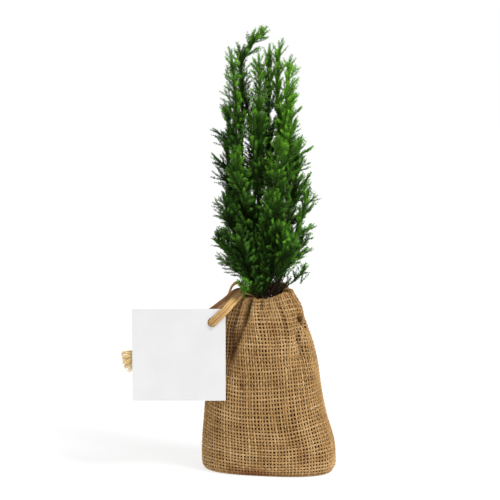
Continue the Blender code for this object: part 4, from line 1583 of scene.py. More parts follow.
    def shoots(self) -> list[Shoot]:
        """Every bough, the leafy top and every side plume.

        Returns:
            The shoots, in the order in which they are grown.
        """
        made = []
        longest = self.longest * self.bough_longest
        for name, start, tip in self.boughs:
            shoot = self.settled(name, start, Vector(tip) * MM, self.bough_rise, self.bough_radius, longest)
            if shoot is None:
                continue
            first = self.bough_share + self.gap / shoot.length()
            self.obstacles.append(self.stem(shoot, 0, self.bough_share, self.bough_radius, 5))
            radii = (self.bough_radius[1], self.stem_radius[1])
            self.obstacles.append(self.stem(shoot, first, self.stem_end, radii, 3))
            shoot.limb, shoot.first = True, first + self.start_on_bough
            made.append(shoot)
        root = Vector(self.trunk_line[-1]) * MM + self.gap * UP
        arriving = Vector(self.top_arriving).normalized()
        top = Shoot("top", root, Vector(self.top_tip) * MM, UP, arriving, self.longest * self.top_longest)
        self.obstacles.append(self.stem(top, 0, self.stem_end, (self.trunk_radius[1], self.stem_radius[1]), 3))
        top.first = self.start_share
        made.append(top)
        return made + self.plumes(self.tiers, self.longest)

    def plumes(self, tiers: tuple, longest: float) -> list[Shoot]:
        """Side plumes spaced round the trunk in tiers, each a little uneven.

        Args:
            tiers: for each its name, start, tip height, reach, number of plumes and turn of the first.
            longest: the longest branchlet.

        Returns:
            The plumes whose limbs found a free place.
        """
        made = []
        for tier, start, tip_height, reach, count, turn in tiers:
            for n in range(count):
                name = f"{tier}_{n + 1}"
                rng = seeded(name, "tip")
                angle = math.radians(turn + 360 * n / count + either(rng, self.turn_spread))
                tip = self.plume_tip(rng, start, tip_height, reach, angle)
                height = start + either(rng, self.start_spread) + self.climb * n
                shoot = self.settled(name, height, tip, self.plume_rise, self.stem_radius, longest)
                if shoot is None:
                    continue
                self.obstacles.append(self.stem(shoot, 0, self.stem_end, self.stem_radius, 3))
                shoot.first = self.start_share
                made.append(shoot)
        return made

    def plume_tip(self, rng: random.Random, start: float, tip_height: float, reach: float, angle: float) -> Vector:
        """The tip of a side plume.

        Args:
            rng: the plume's random numbers.
            start: the height in mm where its tier leaves the trunk.
            tip_height: the height in mm that it reaches.
            reach: how far out it reaches in mm.
            angle: its turn round the trunk.

        Returns:
            The tip.
        """
        middle, _ = self.trunk_at((start + tip_height) / 2 * MM)
        far = reach * (1 - rng.uniform(0, self.reach_spread))
        x = middle.x / MM + far * math.cos(angle)
        y = middle.y / MM + far * self.flatten * math.sin(angle)
        return Vector((x, y, tip_height + either(rng, self.tip_spread))) * MM


@dataclass
class Limbs:
    """The trunk and the boughs, with the relief of their bark."""

    growth: Growth
    sides: int = 14
    step: float = 1.0 * MM
    ridge: float = 0.13
    # Where the bark's relief is read: once round the limb, one step along it, and its start from limb to limb
    relief_scales: tuple = (2.4, 0.16, 900)
    # The trunk's steps, how far it goes down into the soil, and from where on its flare stays the same
    trunk_points: int = 190
    sunk: float = 1.5 * MM
    flare_top: float = 112.3 * MM

    def mesh(self, name: str, line: list[Vector], radii: list[float]) -> bpy.types.Mesh:
        """One limb.

        Args:
            name: the mesh's name.
            line: its middle line.
            radii: its radius at each point.

        Returns:
            A closed mesh.
        """
        corners = []
        wide, step, apart = self.relief_scales
        net, faces = tube(line, self.sides)
        for n, turn, out in net:
            place = Vector((wide * math.cos(turn), wide * math.sin(turn), n * step)) + line[0] * apart
            relief = self.ridge * noise.fractal(place, 0.8, 2.0, 3)
            corners.append(line[n] + radii[n] * (1 + relief) * out)
        return plain_mesh(name, corners, faces)

    def build(self, shoots: list[Shoot]) -> None:
        """Makes the trunk and one piece for each bough.

        Args:
            shoots: every shoot.
        """
        line = spline(self.growth.line, self.trunk_points)
        line[0].z = line[0].z - self.sunk
        radii = [self.growth.trunk_at(max(point.z, self.flare_top))[1] for point in line]
        piece_of("bark_trunk", self.mesh("bark_trunk", line, radii), BARK, ["trunk"])
        for shoot in shoots:
            if not shoot.limb:
                continue
            steps = int(shoot.length() / self.step)
            places = [self.growth.stem_end * n / steps for n in range(steps + 1)]
            wide, narrow = self.growth.bough_radius[0], self.growth.stem_radius[1]
            radii = [wide + (narrow - wide) * place for place in places]
            name = "bark_" + shoot.name
            mesh = self.mesh(name, [shoot.point(place) for place in places], radii)
            piece_of(name, mesh, BARK, ["bough_" + shoot.name])


@dataclass
class Foliage:
    """The sprays of needles on every shoot."""

    growth: Growth
    spinner: Spinner
    needles: Needles
    # On shoots at the front and back, and on those at the sides
    sprays_pitch: tuple = (8.5 * MM, 5.2 * MM)
    fill_pitch: float = 2.6 * MM
    plume_fill_pitch: float = 3.5 * MM
    inner_pitch: float = 4.6 * MM
    top_fill_pitch: float = 2.2 * MM
    foot_fill_pitch: float = 3.6 * MM
    # Where the inner sprays of an upright bough begin, as a share of it
    inner_start: float = 0.16
    # The range of length of the inner sprays and of those on the trunk
    inner_range: tuple = (0.55, 0.95)
    # Stretches of the trunk with sprays of their own: lowest and highest height, longest spray
    trunk_runs: tuple = ((124, 190, 16), (190, 299, 18))
    # Sprays end this far past their shoot's tip at most
    beyond: float = -1.0 * MM
    # Nothing hangs below a cone over the mouth: its point, and its slope on the left and on the right
    cone: tuple = ((-8.5 * MM, -2 * MM, 124.5 * MM), 0.6, 0.87)
    # How much higher the cone lies towards the front right, where the mouth shows, and the ways over which that grows
    # and over which the slope changes
    cone_lift: float = 4.5 * MM
    cone_ways: tuple = (8 * MM, 12 * MM)
    # How much lower it lies for the plumes that arch over the mouth, and the longest spray there
    foot_drop: float = 60 * MM
    foot_longest: float = 9 * MM
    # How strongly the sprays of each run turn upwards
    upright: tuple = (("sprays", 0.3), ("fill", 0.1), ("plume fill", 0.5), ("inner", 0.5))
    # Small sprays lie in a fan that faces outwards: how far they leave it in degrees
    fan_spread: float = 30
    fan_roll: float = 28
    # Their angle and their range of length on a bough, and on a plume
    bough_fan: tuple = (37, 0.55, 1.25)
    plume_fan: tuple = (35, 0.6, 1.35)
    # Sprays begin at this share of the plumes that arch over the mouth
    foot_first: float = 0.26
    # From this share on a stem carries needles itself: a plume's or bough's, and the trunk's upper stretch
    stem_first: float = 0.5
    leader_first: float = 0.52
    # The stretches that these needles' tone changes by, and how large they are
    stem_stretch: float = 7 * MM
    stem_vigour: float = 1.12
    # How large needles are on the shortest sprays, how much larger on the longest, and a twiglet's needles and girth
    vigour: tuple = (0.92, 0.12)
    twiglet_vigour: float = 0.92
    twiglet_girth: float = 0.55
    # How far plumes differ in brightness, and the sprays of one plume
    glow_spread: tuple = (0.07, 0.06)
    foot_glow: float = -0.10
    # A spray's brightness, mostly painted light and shade: how much its way out (painted shade inside the crown),
    # its height (painted light on top), its place on the shoot and its side (painted light on the right) count, and
    # where it starts from; the way out that counts as 1, and the height and side that count as 0 and how far off 1 is
    glow_parts: tuple = (0.16, 0.46, 0.26, 0.07, -0.01)
    glow_reach: float = 36 * MM
    glow_height: tuple = (130 * MM, 205 * MM)
    glow_side: tuple = (-8 * MM, 38 * MM)
    # The lowest sprays are brighter by this much, as painted light, which fades out upwards this fast
    low_glow: tuple = (0.21, 2.8)
    # A run's first spray stands this share of a step up, and its last one on the tip is longer than the shortest
    first_step: float = 0.3
    end_share: float = 1.3
    place_spread: float = 0.2
    turn_spread: float = 0.3
    angle_spread: float = 6
    # By how many degrees more the sprays on a shoot's outer side lean out: at the front and back, and at the sides
    splay: tuple = (4, 20)
    twiglet_pitch: float = 4.6 * MM
    twiglet_angle: float = 38
    twiglet_range: tuple = (3.6 * MM, 8.5 * MM)
    # Where twiglets begin and over how much of the spray they spread, how far each turns and leans, and its bend
    twiglet_span: tuple = (0.12, 0.68)
    twiglet_spread: tuple = (28, 8)
    twiglet_bend: float = 0.22
    # How much brighter twiglets are towards their spray's tip, and how they differ
    twiglet_glow: float = 0.10
    twiglet_tints: tuple = (-0.05, 0.08)
    # How long a twiglet is, as a share of what is left of its spray, and how that varies
    twiglet_share: float = 0.42
    twiglet_uneven: tuple = (0.7, 1.15)
    # Sprays shorter than this carry no twiglets
    twiglet_least: float = 4.0 * MM
    # How much a spray bows up and aside, and the steps of its line
    lift: float = 0.12
    most_lift: float = 1.3
    side_bow: float = 0.12
    spray_step: float = 2.5 * MM
    # Along a twig its tone changes at these shares, by these steps of brightness
    tone_shares: tuple = (0.5, 0.8)
    tone_steps: tuple = (-0.08, 0.04, 0.15)
    tip_room: float = 1.6 * MM
    cloth_guard: float = 1.6 * MM
    kept_clear: tuple = ("burlap_bag", "tie_front", "tie_rear", "tie_loop")
    twig_radius: float = 0.3 * MM
    # A tone whose needles are more than this goes into several pieces
    most_needles: int = 46000
    # The tones up to a brightness, past which the brightest follows
    tone_limits: tuple = ((0.24, Tone.DEEP), (0.42, Tone.SHADE), (0.62, Tone.MID), (0.84, Tone.FRESH))
    # A stem is this share as thick as the model's limb, and uneven by this share
    stem_share: float = 0.6
    stem_uneven: float = 0.08

    def runs(self, shoot: Shoot) -> list[tuple[str, float, float]]:
        """The runs of branchlets on a shoot.

        Args:
            shoot: the shoot.

        Returns:
            For each run its purpose, the share of the shoot where it begins, and its pitch.
        """
        if isinstance(shoot, TrunkRun):
            return [("fill", 0.0, self.inner_pitch)]
        first = self.foot_first if shoot.at_foot() else shoot.first
        middling, flanking = self.sprays_pitch
        made = [("sprays", first, middling + (flanking - middling) * self.flank(shoot))]
        if shoot.limb:
            return made + [("fill", first, self.fill_pitch), ("inner", self.inner_start, self.inner_pitch)]
        if shoot.name == "top":
            return made + [("fill", first, self.top_fill_pitch)]
        pitch = self.foot_fill_pitch if shoot.at_foot() else self.plume_fill_pitch
        return made + [("plume fill", first, pitch)]

    def flank(self, shoot: Shoot) -> float:
        """How much a shoot stands at the crown's left or right side, from 0 to 1.

        Args:
            shoot: the shoot.

        Returns:
            The share.
        """
        if shoot.at_foot() or isinstance(shoot, TrunkRun):
            return 0.0
        middle, _ = self.growth.trunk_at(shoot.tip.z)
        aside, back = shoot.tip.x - middle.x, shoot.tip.y - middle.y
        return aside * aside / (aside * aside + back * back)

    def sprays_on(self, shoot: Shoot, purpose: str, first: float, pitch: float) -> list[Spray]:
        """The branchlets of one run on a shoot, spiralling up to its tip.

        Args:
            shoot: the shoot.
            purpose: which of the shoot's random numbers to use.
            first: where the run begins, as a share of the shoot.
            pitch: the step between branchlets.

        Returns:
            The branchlets.
        """
        rule = self.growth
        rng = seeded(shoot.name, purpose)
        own = seeded(shoot.name, purpose + " looks")
        offset = seeded(shoot.name, "brightness").gauss(0, self.glow_spread[0])
        offset += self.foot_glow * shoot.at_foot()
        flank = self.flank(shoot)
        splay = self.splay[0] + (self.splay[1] - self.splay[0]) * flank
        whole = shoot.length()
        count = round(whole * (1 - first) / pitch)
        turn = rng.uniform(0, math.tau)
        made = []
        for n in range(count):
            step = n + self.first_step + either(rng, self.place_spread)
            share = first + (rule.end_share - first) * step / count
            turn += GOLDEN_TURN + either(rng, self.turn_spread)
            if purpose == "inner" and share > shoot.first:
                break
            ahead = shoot.ahead(share)
            middle, _ = rule.trunk_at(shoot.point(share).z)
            out = Vector((shoot.tip.x - middle.x, shoot.tip.y - middle.y, 0)).normalized()
            way = across(ahead, out)
            fanned = purpose.endswith("fill") and not isinstance(shoot, TrunkRun)
            fan = self.plume_fan if purpose == "plume fill" else self.bough_fan
            spin = math.pi / 2 * (-1) ** n + own.gauss(0, math.radians(self.fan_spread)) if fanned else turn
            aside = math.cos(spin) * way + math.sin(spin) * ahead.cross(way)
            outer = max(0.0, aside.dot(out)) * (purpose == "sprays")
            spread = fan[0] if fanned else rule.angle + splay * outer
            angle = math.radians(spread + either(rng, self.angle_spread))
            direction = math.cos(angle) * ahead + math.sin(angle) * aside
            direction = (direction + dict(self.upright)[purpose] * (1 - outer * flank) * UP).normalized()
            outward = 0.5 + 0.5 * aside.dot(way)
            taper = 1 - rule.taper * (share - first) / (1 - first)
            length = shoot.longest * taper * (rule.inward + (1 - rule.inward) * outward)
            length = max(rule.shortest, length * rng.uniform(*rule.length_range))
            roll = math.radians(either(rng, self.fan_roll if fanned else rule.roll_spread))
            face = Matrix.Rotation(roll, 3, direction) @ across(direction, way)
            if fanned:
                length *= own.uniform(*fan[1:])
            elif purpose != "sprays":
                length *= own.uniform(*self.inner_range)
            length = min(length, (1 - share) * whole + self.beyond + self.tip_room)
            if shoot.at_foot():
                length = min(length, self.foot_longest)
            made.append(self.spray(shoot.point(share), direction, face, length, (share, offset), own))
        last = shoot.ahead(1)
        face = across(last, Vector((0, -1, 0.2)))
        reach = rule.shortest * self.end_share
        if purpose == "sprays":
            made.append(self.spray(shoot.tip - last * reach, last, face, reach, (1.0, offset), own))
        return made

    def spray(
        self, root: Vector, direction: Vector, face: Vector, length: float, place: tuple, rng: random.Random
    ) -> Spray:
        """One branchlet that bows up a little towards its tip.

        Args:
            root: where it starts.
            direction: where it starts out to.
            face: the side that its flat face is turned to.
            length: its length.
            place: how far along its shoot it stands, and how much brighter than others the shoot is.
            rng: random numbers.

        Returns:
            The branchlet.
        """
        bow = across(direction, UP) * self.lift * rng.uniform(0.0, self.most_lift)
        bow += direction.cross(UP) * either(rng, self.side_bow)
        length = length - self.tip_room
        steps = max(3, round(length / self.spray_step))
        line = [root + length * (direction * (n / steps) + bow * (n / steps) ** 2) for n in range(steps + 1)]
        return Spray(line, face, length, self.glow(line[-1], place[0], rng) + place[1])

    def glow(self, tip: Vector, share: float, rng: random.Random) -> float:
        """How bright a spray is from its place in the crown, painted shade inside and painted light on top.

        Args:
            tip: the spray's tip.
            share: how far along its shoot it stands.
            rng: random numbers.

        Returns:
            About 0 deep inside and low on the left, about 1 at the top and on the right.
        """
        middle, _ = self.growth.trunk_at(tip.z)
        aside = math.hypot(tip.x - middle.x, (tip.y - middle.y) / self.growth.flatten) / self.glow_reach
        high = max(0.0, (tip.z - self.glow_height[0]) / self.glow_height[1])
        side = (tip.x - self.glow_side[0]) / self.glow_side[1]
        measures = (min(aside, 1.1), high**1.5, share**1.5, side, 1)
        place = sum(part * measure for part, measure in zip(self.glow_parts, measures))
        low, fade = self.low_glow
        return place + low * max(0.0, 1 - fade * high) + rng.gauss(0, self.glow_spread[1])

    def tone(self, glow: float) -> Tone:
        """The tone for a brightness."""
        return next((tone for limit, tone in self.tone_limits if glow < limit), Tone.TIP)

    def twiglets(self, spray: Spray, rng: random.Random) -> list[tuple[list[Vector], Vector, float]]:
        """The small twigs on both sides of a branchlet.

        Args:
            spray: the branchlet.
            rng: random numbers.

        Returns:
            The line, face and brightness of each.
        """
        made = []
        start, span = self.twiglet_span
        roll, tilt = self.twiglet_spread
        low, high = self.twiglet_range
        count = int(max(0, spray.length - self.twiglet_least) * 0.9 / self.twiglet_pitch * 2)
        for n in range(count):
            share = start + span * (n + rng.uniform(0, 0.6)) / max(1, count)
            root, ahead = along(spray.line, share)
            ahead.normalize()
            sign = 1 if n % 2 else -1
            side = spray.face.cross(ahead) * sign
            side = Matrix.Rotation(math.radians(either(rng, roll)), 3, ahead) @ side
            angle = math.radians(self.twiglet_angle + either(rng, tilt))
            direction = (math.cos(angle) * ahead + math.sin(angle) * side).normalized()
            left = self.twiglet_share * spray.length * (1 - share)
            length = min(high, low + left * rng.uniform(*self.twiglet_uneven))
            bend = ahead * self.twiglet_bend
            line = [root + length * (direction * t + bend * t * t) for t in (0, 0.35, 0.7, 1)]
            made.append((line, spray.face, spray.glow + self.twiglet_glow * share + rng.uniform(*self.twiglet_tints)))
        return made

    def free(self, line: list[Vector], trees: list[BVHTree], drop: float) -> bool:
        """Whether a twig keeps above the mouth and clear of the cloth and the ties.

        Args:
            line: the twig's line.
            trees: what it keeps clear of.
            drop: how much lower than for others it may hang.

        Returns:
            True where it may grow.
        """
        (centre, middle, low), left, right = self.cone
        for point in line[1:]:
            aside, back = point.x - centre, point.y - middle
            lift = self.cone_lift * min(1, max(0, (aside - 0.5 * back) / self.cone_ways[0]))
            slope = left + (right - left) * min(1, max(0, 0.5 + aside / self.cone_ways[1]))
            if point.z < low - drop + lift + slope * math.hypot(aside, back):
                return False
        return all(tree.find_nearest(point, self.cloth_guard)[0] is None for tree in trees for point in line[1:])

    def build(self, shoots: list[Shoot]) -> None:
        """Grows stems, twigs and needles, each kind joined.

        Args:
            shoots: every shoot.
        """
        trees = [self.growth.obstacles[self.growth.fixed.index(name)][2] for name in self.kept_clear]
        stems, axes, twigs = [], [], []
        tones = {tone: [] for tone in Tone}
        inner = self.growth.plumes(self.growth.inner_tiers, self.growth.longest * self.growth.inner_longest)
        for shoot in shoots + inner + self.trunk_shoots():
            if not shoot.limb and not isinstance(shoot, TrunkRun):
                stems.append(self.stem_strand(shoot))
            rng = seeded(shoot.name, "twiglets")
            drop = self.foot_drop * shoot.at_foot()
            for line, glow in self.stem_stretches(shoot):
                if self.free(line, trees, drop):
                    tones[self.tone(glow)].append(self.needle_strand(line, self.stem_vigour, False))
            for purpose, first, pitch in self.runs(shoot):
                for spray in self.sprays_on(shoot, purpose, first, pitch):
                    if not self.free(spray.line, trees, drop):
                        continue
                    axes.append(self.twig_strand(spray.line, spray.face, 1.0))
                    least, more = self.vigour
                    vigour = least + more * min(1, spray.length / self.growth.longest)
                    self.dress(tones, spray.line, spray.glow, vigour)
                    for line, face, glow in self.twiglets(spray, rng):
                        if self.free(line, trees, drop):
                            twigs.append(self.twig_strand(line, face, self.twiglet_girth))
                            self.dress(tones, line, glow, vigour * self.twiglet_vigour)
        masses = sorted(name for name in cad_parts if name.startswith("foliage_"))
        for name, lines, shape, finish in (
            ("plume_stems", stems, (1.0, 1.0, 8), BARK),
            ("spray_stems", axes, (self.twig_radius, self.twig_radius, 4), STEM),
            ("twiglets", twigs, (self.twig_radius, self.twig_radius, 3), STEM),
        ):
            self.spinner.piece(name, lines, shape, finish, "bark", masses)
        for tone, strands in tones.items():
            parts = 1 + sum(self.count(strand) for strand in strands) // self.most_needles
            size = -(-len(strands) // parts)
            for n in range(parts):
                name = f"needles_{tone.name.lower()}_{n + 1}"
                mesh = self.needles.grow(name, strands[n * size : (n + 1) * size], tone.finish())
                piece_of(name, mesh, tone.finish(), masses)

    def stem_stretches(self, shoot: Shoot) -> list[tuple[list[Vector], float]]:
        """The younger part of a shoot's own stem, in stretches.

        Args:
            shoot: the shoot.

        Returns:
            The line and brightness of each.
        """
        rng = seeded(shoot.name, "stem needles")
        first = {"top": 0.0, "trunk_1": 1.0, "trunk_2": self.leader_first}.get(shoot.name, self.stem_first)
        count = round((1 - first) * shoot.length() / self.stem_stretch)
        made = []
        for n in range(count):
            shares = [first + (1 - first) * (n + part) / count for part in (0, 0.5, 1)]
            line = [shoot.point(share) for share in shares]
            made.append((line, self.glow(line[-1], shares[1], rng)))
        return made

    def dress(self, tones: dict[Tone, list[Strand]], line: list[Vector], glow: float, vigour: float) -> None:
        """Gives a twig its needles, brighter towards its tip.

        Args:
            tones: the strands gathered so far for each tone.
            line: the twig's line.
            glow: how bright the twig is.
            vigour: how large its needles are.
        """
        last = len(line) - 1
        places = [0] + [max(1, round(share * last)) for share in self.tone_shares] + [last]
        for n, (start, end) in enumerate(zip(places, places[1:])):
            if end > start:
                tone = self.tone(glow + self.tone_steps[n])
                tones[tone].append(self.needle_strand(line[start : end + 1], vigour, end == last))

    def trunk_shoots(self) -> list[Shoot]:
        """The stretches of the trunk that carry sprays.

        Returns:
            The stretches.
        """
        made = []
        for n, (low, high, longest) in enumerate(self.trunk_runs):
            route = tuple(point for point in self.growth.line if low * MM <= point.z <= high * MM)
            name = f"trunk_{n + 1}"
            made.append(TrunkRun(name, route[0], route[-1], UP, UP, longest * MM, route=route))
        return made

    def count(self, strand: Strand) -> int:
        """How many needles a strand carries."""
        run = np.linalg.norm(np.diff(strand.line, axis=0), axis=1).sum()
        return int(run / self.needles.pitch + 1) * self.needles.per_whorl

    def stem_strand(self, shoot: Shoot) -> Strand:
        """The woody stem of a side plume or of the top.

        Args:
            shoot: the plume or the top.

        Returns:
            The stem.
        """
        count = max(12, int(shoot.length() / (1.5 * MM)))
        wide, narrow = self.growth.stem_radius
        places = [self.growth.stem_end * n / (count - 1) for n in range(count)]
        uneven = [self.stem_share * (1 + self.stem_uneven * math.sin(2.1 * n)) for n in range(count)]
        girths = [(wide + (narrow - wide) * place) * part for place, part in zip(places, uneven)]
        return strand_along([shoot.point(place) for place in places], Vector((0.1, -1, 0)), girths)

    def twig_strand(self, line: list[Vector], face: Vector, girth: float) -> Strand:
        """A thin twig that tapers to its tip."""
        count = len(line)
        return strand_along(line, face, [girth * (1 - 0.6 * n / (count - 1)) for n in range(count)])

    def needle_strand(self, line: list[Vector], vigour: float, ends: bool) -> Strand:
        """A line to set needles along, shorter ones where it ends in a tip.

        Args:
            line: the line.
            vigour: how large the needles are.
            ends: whether it ends in a tip.

        Returns:
            The strand.
        """
        count = len(line)
        girths = [vigour * (1 - 0.2 * (n / (count - 1)) ** 3 * ends) for n in range(count)]
        return strand_along(line, UP, girths)


# Tag and tie


@dataclass
class Ribbon:
    """The line of a flat strand of the tie."""

    points: tuple
    facings: tuple
    widths: tuple
    count: int
    width: float = 6.2 * MM

    def frames(self) -> tuple[np.ndarray, np.ndarray, np.ndarray]:
        """The strand's middle line with its face and its half width.

        Returns:
            Points, unit vectors away from the face, and vectors to one edge.
        """
        line = spline([Vector(point) * MM for point in self.points], self.count)
        looks = spline([Vector(look) for look in self.facings], self.count)
        spans = spline([Vector((width, 0, 0)) for width in self.widths], self.count)
        faces, sides = [], []
        for n in range(self.count):
            ahead = heading(line, n)
            face = across(ahead, looks[n])
            faces.append(face)
            sides.append(ahead.cross(face) * spans[n].x * self.width / 2)
        return tuple(np.array([tuple(part) for part in parts]) for parts in (line, faces, sides))


@dataclass
class Tie:
    """The jute tie: two flat strands of fibres side by side, and a small loose loop."""

    spinner: Spinner
    fibres: int = 17
    fibre: tuple = (0.29 * MM, 0.27 * MM)
    crown: float = 0.2 * MM
    rear_layer: float = -0.28 * MM
    # How far fibres sway to the side and up, how much of the width their lines take, their girths and their tints
    sway: float = 0.035
    unrest: float = 0.05 * MM
    spread: float = 0.94
    girths: tuple = (0.85, 1.2)
    tint_spread: float = 0.55
    # The round end at the hole: half its width and how far it reaches
    end_size: tuple = (2.7 * MM, 2.6 * MM)
    # The knot: its turns, its largest radius, its depth, and the steps in and back of the turns in each layer of five
    knot_turns: int = 10
    knot_radius: float = 3.5
    knot_depth: float = -22
    knot_steps: tuple = (0.16, 0.55)
    knot_girth: float = 1.5
    # Where the frays end in mm: how far to the left, and the lowest and the highest
    fray_ends: tuple = (-109.4, 77.5, 92.5)
    frays: int = 105
    fray_points: int = 16
    fray_girths: tuple = (0.9, 1.4)
    fray_tip: float = 0.6
    # Widths along each strand as shares
    front_widths: tuple = (1, 0.86, 0.82, 0.88, 1, 1, 1)
    rear_widths: tuple = (1, 0.86, 0.82, 0.86, 0.95, 1, 1, 1, 1.1)
    front: tuple = (
        (-9, -1, 127),
        (-14, -6.5, 133.4),
        (-19.6, -12.2, 135.6),
        (-26, -19.2, 131.4),
        (-31.5, -24.2, 126),
        (-36.5, -25.1, 121.4),
        (-42, -24.9, 116.1),
    )
    rear: tuple = (
        (-8, 6, 127.5),
        (-13, 1.5, 134.4),
        (-19, -4.6, 138.4),
        (-25.8, -10.8, 135.6),
        (-32.3, -15.3, 130.6),
        (-39.7, -17.3, 125.2),
        (-54, -19.4, 115.4),
        (-73, -21, 103.4),
        (-88, -21.3, 94.5),
    )
    loop: tuple = (
        (-17, 6, 133),
        (-20.8, 6.2, 139),
        (-24, 6.4, 140.9),
        (-27.4, 6.1, 138.8),
        (-29.6, 5.7, 134.2),
        (-31.8, 5.4, 128.6),
    )

    def bundle(self, ribbon: Ribbon, fibres: int, rng: random.Random) -> list[Strand]:
        """The fibres of a strand, laid side by side in two layers.

        Args:
            ribbon: the strand's line.
            fibres: how many fibres show on its face.
            rng: random numbers.

        Returns:
            The fibres.
        """
        line, face, side = ribbon.frames()
        place = np.arange(len(line))
        made = []
        for rear in (False, True):
            for n in range(fibres):
                spot = -1 + 2 * (n + 0.5) / fibres
                sway = self.sway * np.sin(place * rng.uniform(0.2, 0.5) + rng.uniform(0, 6))
                rise = self.crown * (1 - spot**2) + self.unrest * np.sin(place * 0.6 + rng.uniform(0, 6))
                if rear:
                    rise = np.full(len(line), self.rear_layer)
                points = line + side * (spot * self.spread + sway)[:, None] + face * rise[:, None]
                girth = rng.uniform(*self.girths) * (1 + 0.08 * np.sin(place * 0.7 + rng.uniform(0, 6)))
                edge = 0.25 * abs(spot) ** 4
                tone = np.tile((rng.gauss(0, self.tint_spread), 0, edge), (len(line), 1))
                made.append(Strand(points, face, girth, tone))
        return made

    def round_end(self, strands: list[Strand]) -> None:
        """Turns the fibres' ends into the tag's hole, in a round end.

        Args:
            strands: the fibres of the front strand.
        """
        centre = np.array((HOLE[0], 0, HOLE[1]))
        for strand in strands:
            ahead = unit(strand.line[-1] - strand.line[-3])
            offset = strand.line[-1] - centre
            offset[1] = 0
            aside = offset - ahead * offset.dot(ahead)
            share = min(1.0, np.linalg.norm(aside) / self.end_size[0])
            reach = math.sqrt(max(0.0, 1 - share**2)) * self.end_size[1]
            end = strand.line[-1]
            inward = np.array((0, 1, 0))
            extra = [
                end + ahead * reach * 0.7 + inward * 0.15 * MM,
                end + ahead * reach + inward * 0.8 * MM,
                end + ahead * reach * 0.8 - aside * 0.3 + inward * 2.6 * MM,
            ]
            strand.line = np.concatenate([strand.line, extra])
            strand.facing = np.concatenate([strand.facing, [strand.facing[-1]], [ahead], [ahead]])
            strand.girth = np.concatenate([strand.girth, strand.girth[-1] * np.array([1, 1, 0.8])])
            strand.tone = np.concatenate([strand.tone, np.repeat(strand.tone[-1:], len(extra), axis=0)])

    def knot(self, rng: random.Random) -> list[Strand]:
        """The knot behind the tag's hole, as turns of fibre.

        Args:
            rng: random numbers.

        Returns:
            Closed turns.
        """
        made = []
        for n in range(self.knot_turns):
            radius = (self.knot_radius - self.knot_steps[0] * (n % 5)) * MM
            depth = (self.knot_depth + self.knot_steps[1] * (n % 5)) * MM
            turns = np.linspace(0, math.tau, 28, endpoint=False)
            tilt = rng.uniform(-0.25, 0.25)
            x = HOLE[0] + radius * np.cos(turns)
            z = HOLE[1] + radius * np.sin(turns)
            y = depth + tilt * MM * np.sin(turns + n)
            line = np.stack([x, y, z], -1)
            facing = np.stack([np.cos(turns), 0 * turns, np.sin(turns)], -1)
            tone = np.tile((rng.gauss(0, 0.5), 0, 0.1), (len(turns), 1))
            made.append(Strand(line, facing, np.full(len(turns), self.knot_girth), tone, closed=True))
        return made

    def frayed(self, rng: random.Random) -> list[Strand]:
        """The loose fibres that the rear strand ends in.

        Args:
            rng: random numbers.

        Returns:
            The fibres.
        """
        end = Vector(self.rear[-1]) * MM
        slant = (Vector(self.rear[-1]) - Vector(self.rear[-2])).normalized()
        aside = Vector((slant.z, 0, -slant.x))
        far, low, high = self.fray_ends
        made = []
        for n in range(self.frays):
            share = (n / (self.frays - 1)) ** 0.75
            start = end - slant * 5 * MM - aside * (share - 0.5) * 5.6 * MM
            reach = far + rng.uniform(-0.6, 3.2) + 4 * (1 - share) ** 2
            height = low + (high - low) * share + rng.uniform(-1.6, 1.6)
            tip = Vector((reach * MM, end.y + rng.uniform(-0.7, 1.3) * MM, height * MM))
            middle = start.lerp(tip, 0.5) + UP * rng.uniform(-1.6, 1.2) * MM
            late = start.lerp(tip, 0.8) + UP * rng.uniform(-0.8, 0.8) * MM
            points = spline([start, middle, late, tip], self.fray_points)
            girths = rng.uniform(*self.fray_girths) * np.linspace(1, self.fray_tip, self.fray_points)
            made.append(strand_along(points, Vector((0, -1, 0)), girths, (rng.uniform(0.0, 1.1), 0, 0)))
        return made

    def build(self) -> None:
        """Makes the strands and the loop."""
        over_rim = (-0.35, -0.35, 0.87)
        outward = (-0.1, -0.98, 0.15)
        above, side = (0, -0.4, 0.9), (-0.9, -0.3, 0.3)
        looks = ((0.8, -0.3, 0.4), (0.6, -0.3, 0.7), above, (-0.8, -0.3, 0.5), side, side)
        rng = seeded("tie", "fibres")
        flat, thin = (*self.fibre, 6), (*self.fibre, 5)
        ribbon = Ribbon(self.front, (over_rim,) * 3 + (outward,) * 4, self.front_widths, 46)
        front = self.bundle(ribbon, self.fibres, rng)
        self.round_end(front)
        front += self.knot(rng)
        ribbon = Ribbon(self.rear, (over_rim,) * 3 + (outward,) * 6, self.rear_widths, 64)
        rear = self.bundle(ribbon, self.fibres, rng)
        frays = self.frayed(rng)
        loop = self.bundle(Ribbon(self.loop, looks, (0.6,) * 6, 40), 7, rng)
        for name, strands, shape, finish, node in (
            ("tie_front_fibres", front, flat, STRAW, "tie_front"),
            ("tie_rear_fibres", rear, flat, BROWN_STRAW, "tie_rear"),
            ("tie_frays", frays, thin, PALE_STRAW, "tie_rear"),
            ("tie_loop_fibres", loop, flat, STRAW, "tie_loop"),
        ):
            self.spinner.piece(name, strands, shape, finish, "jute", [node])


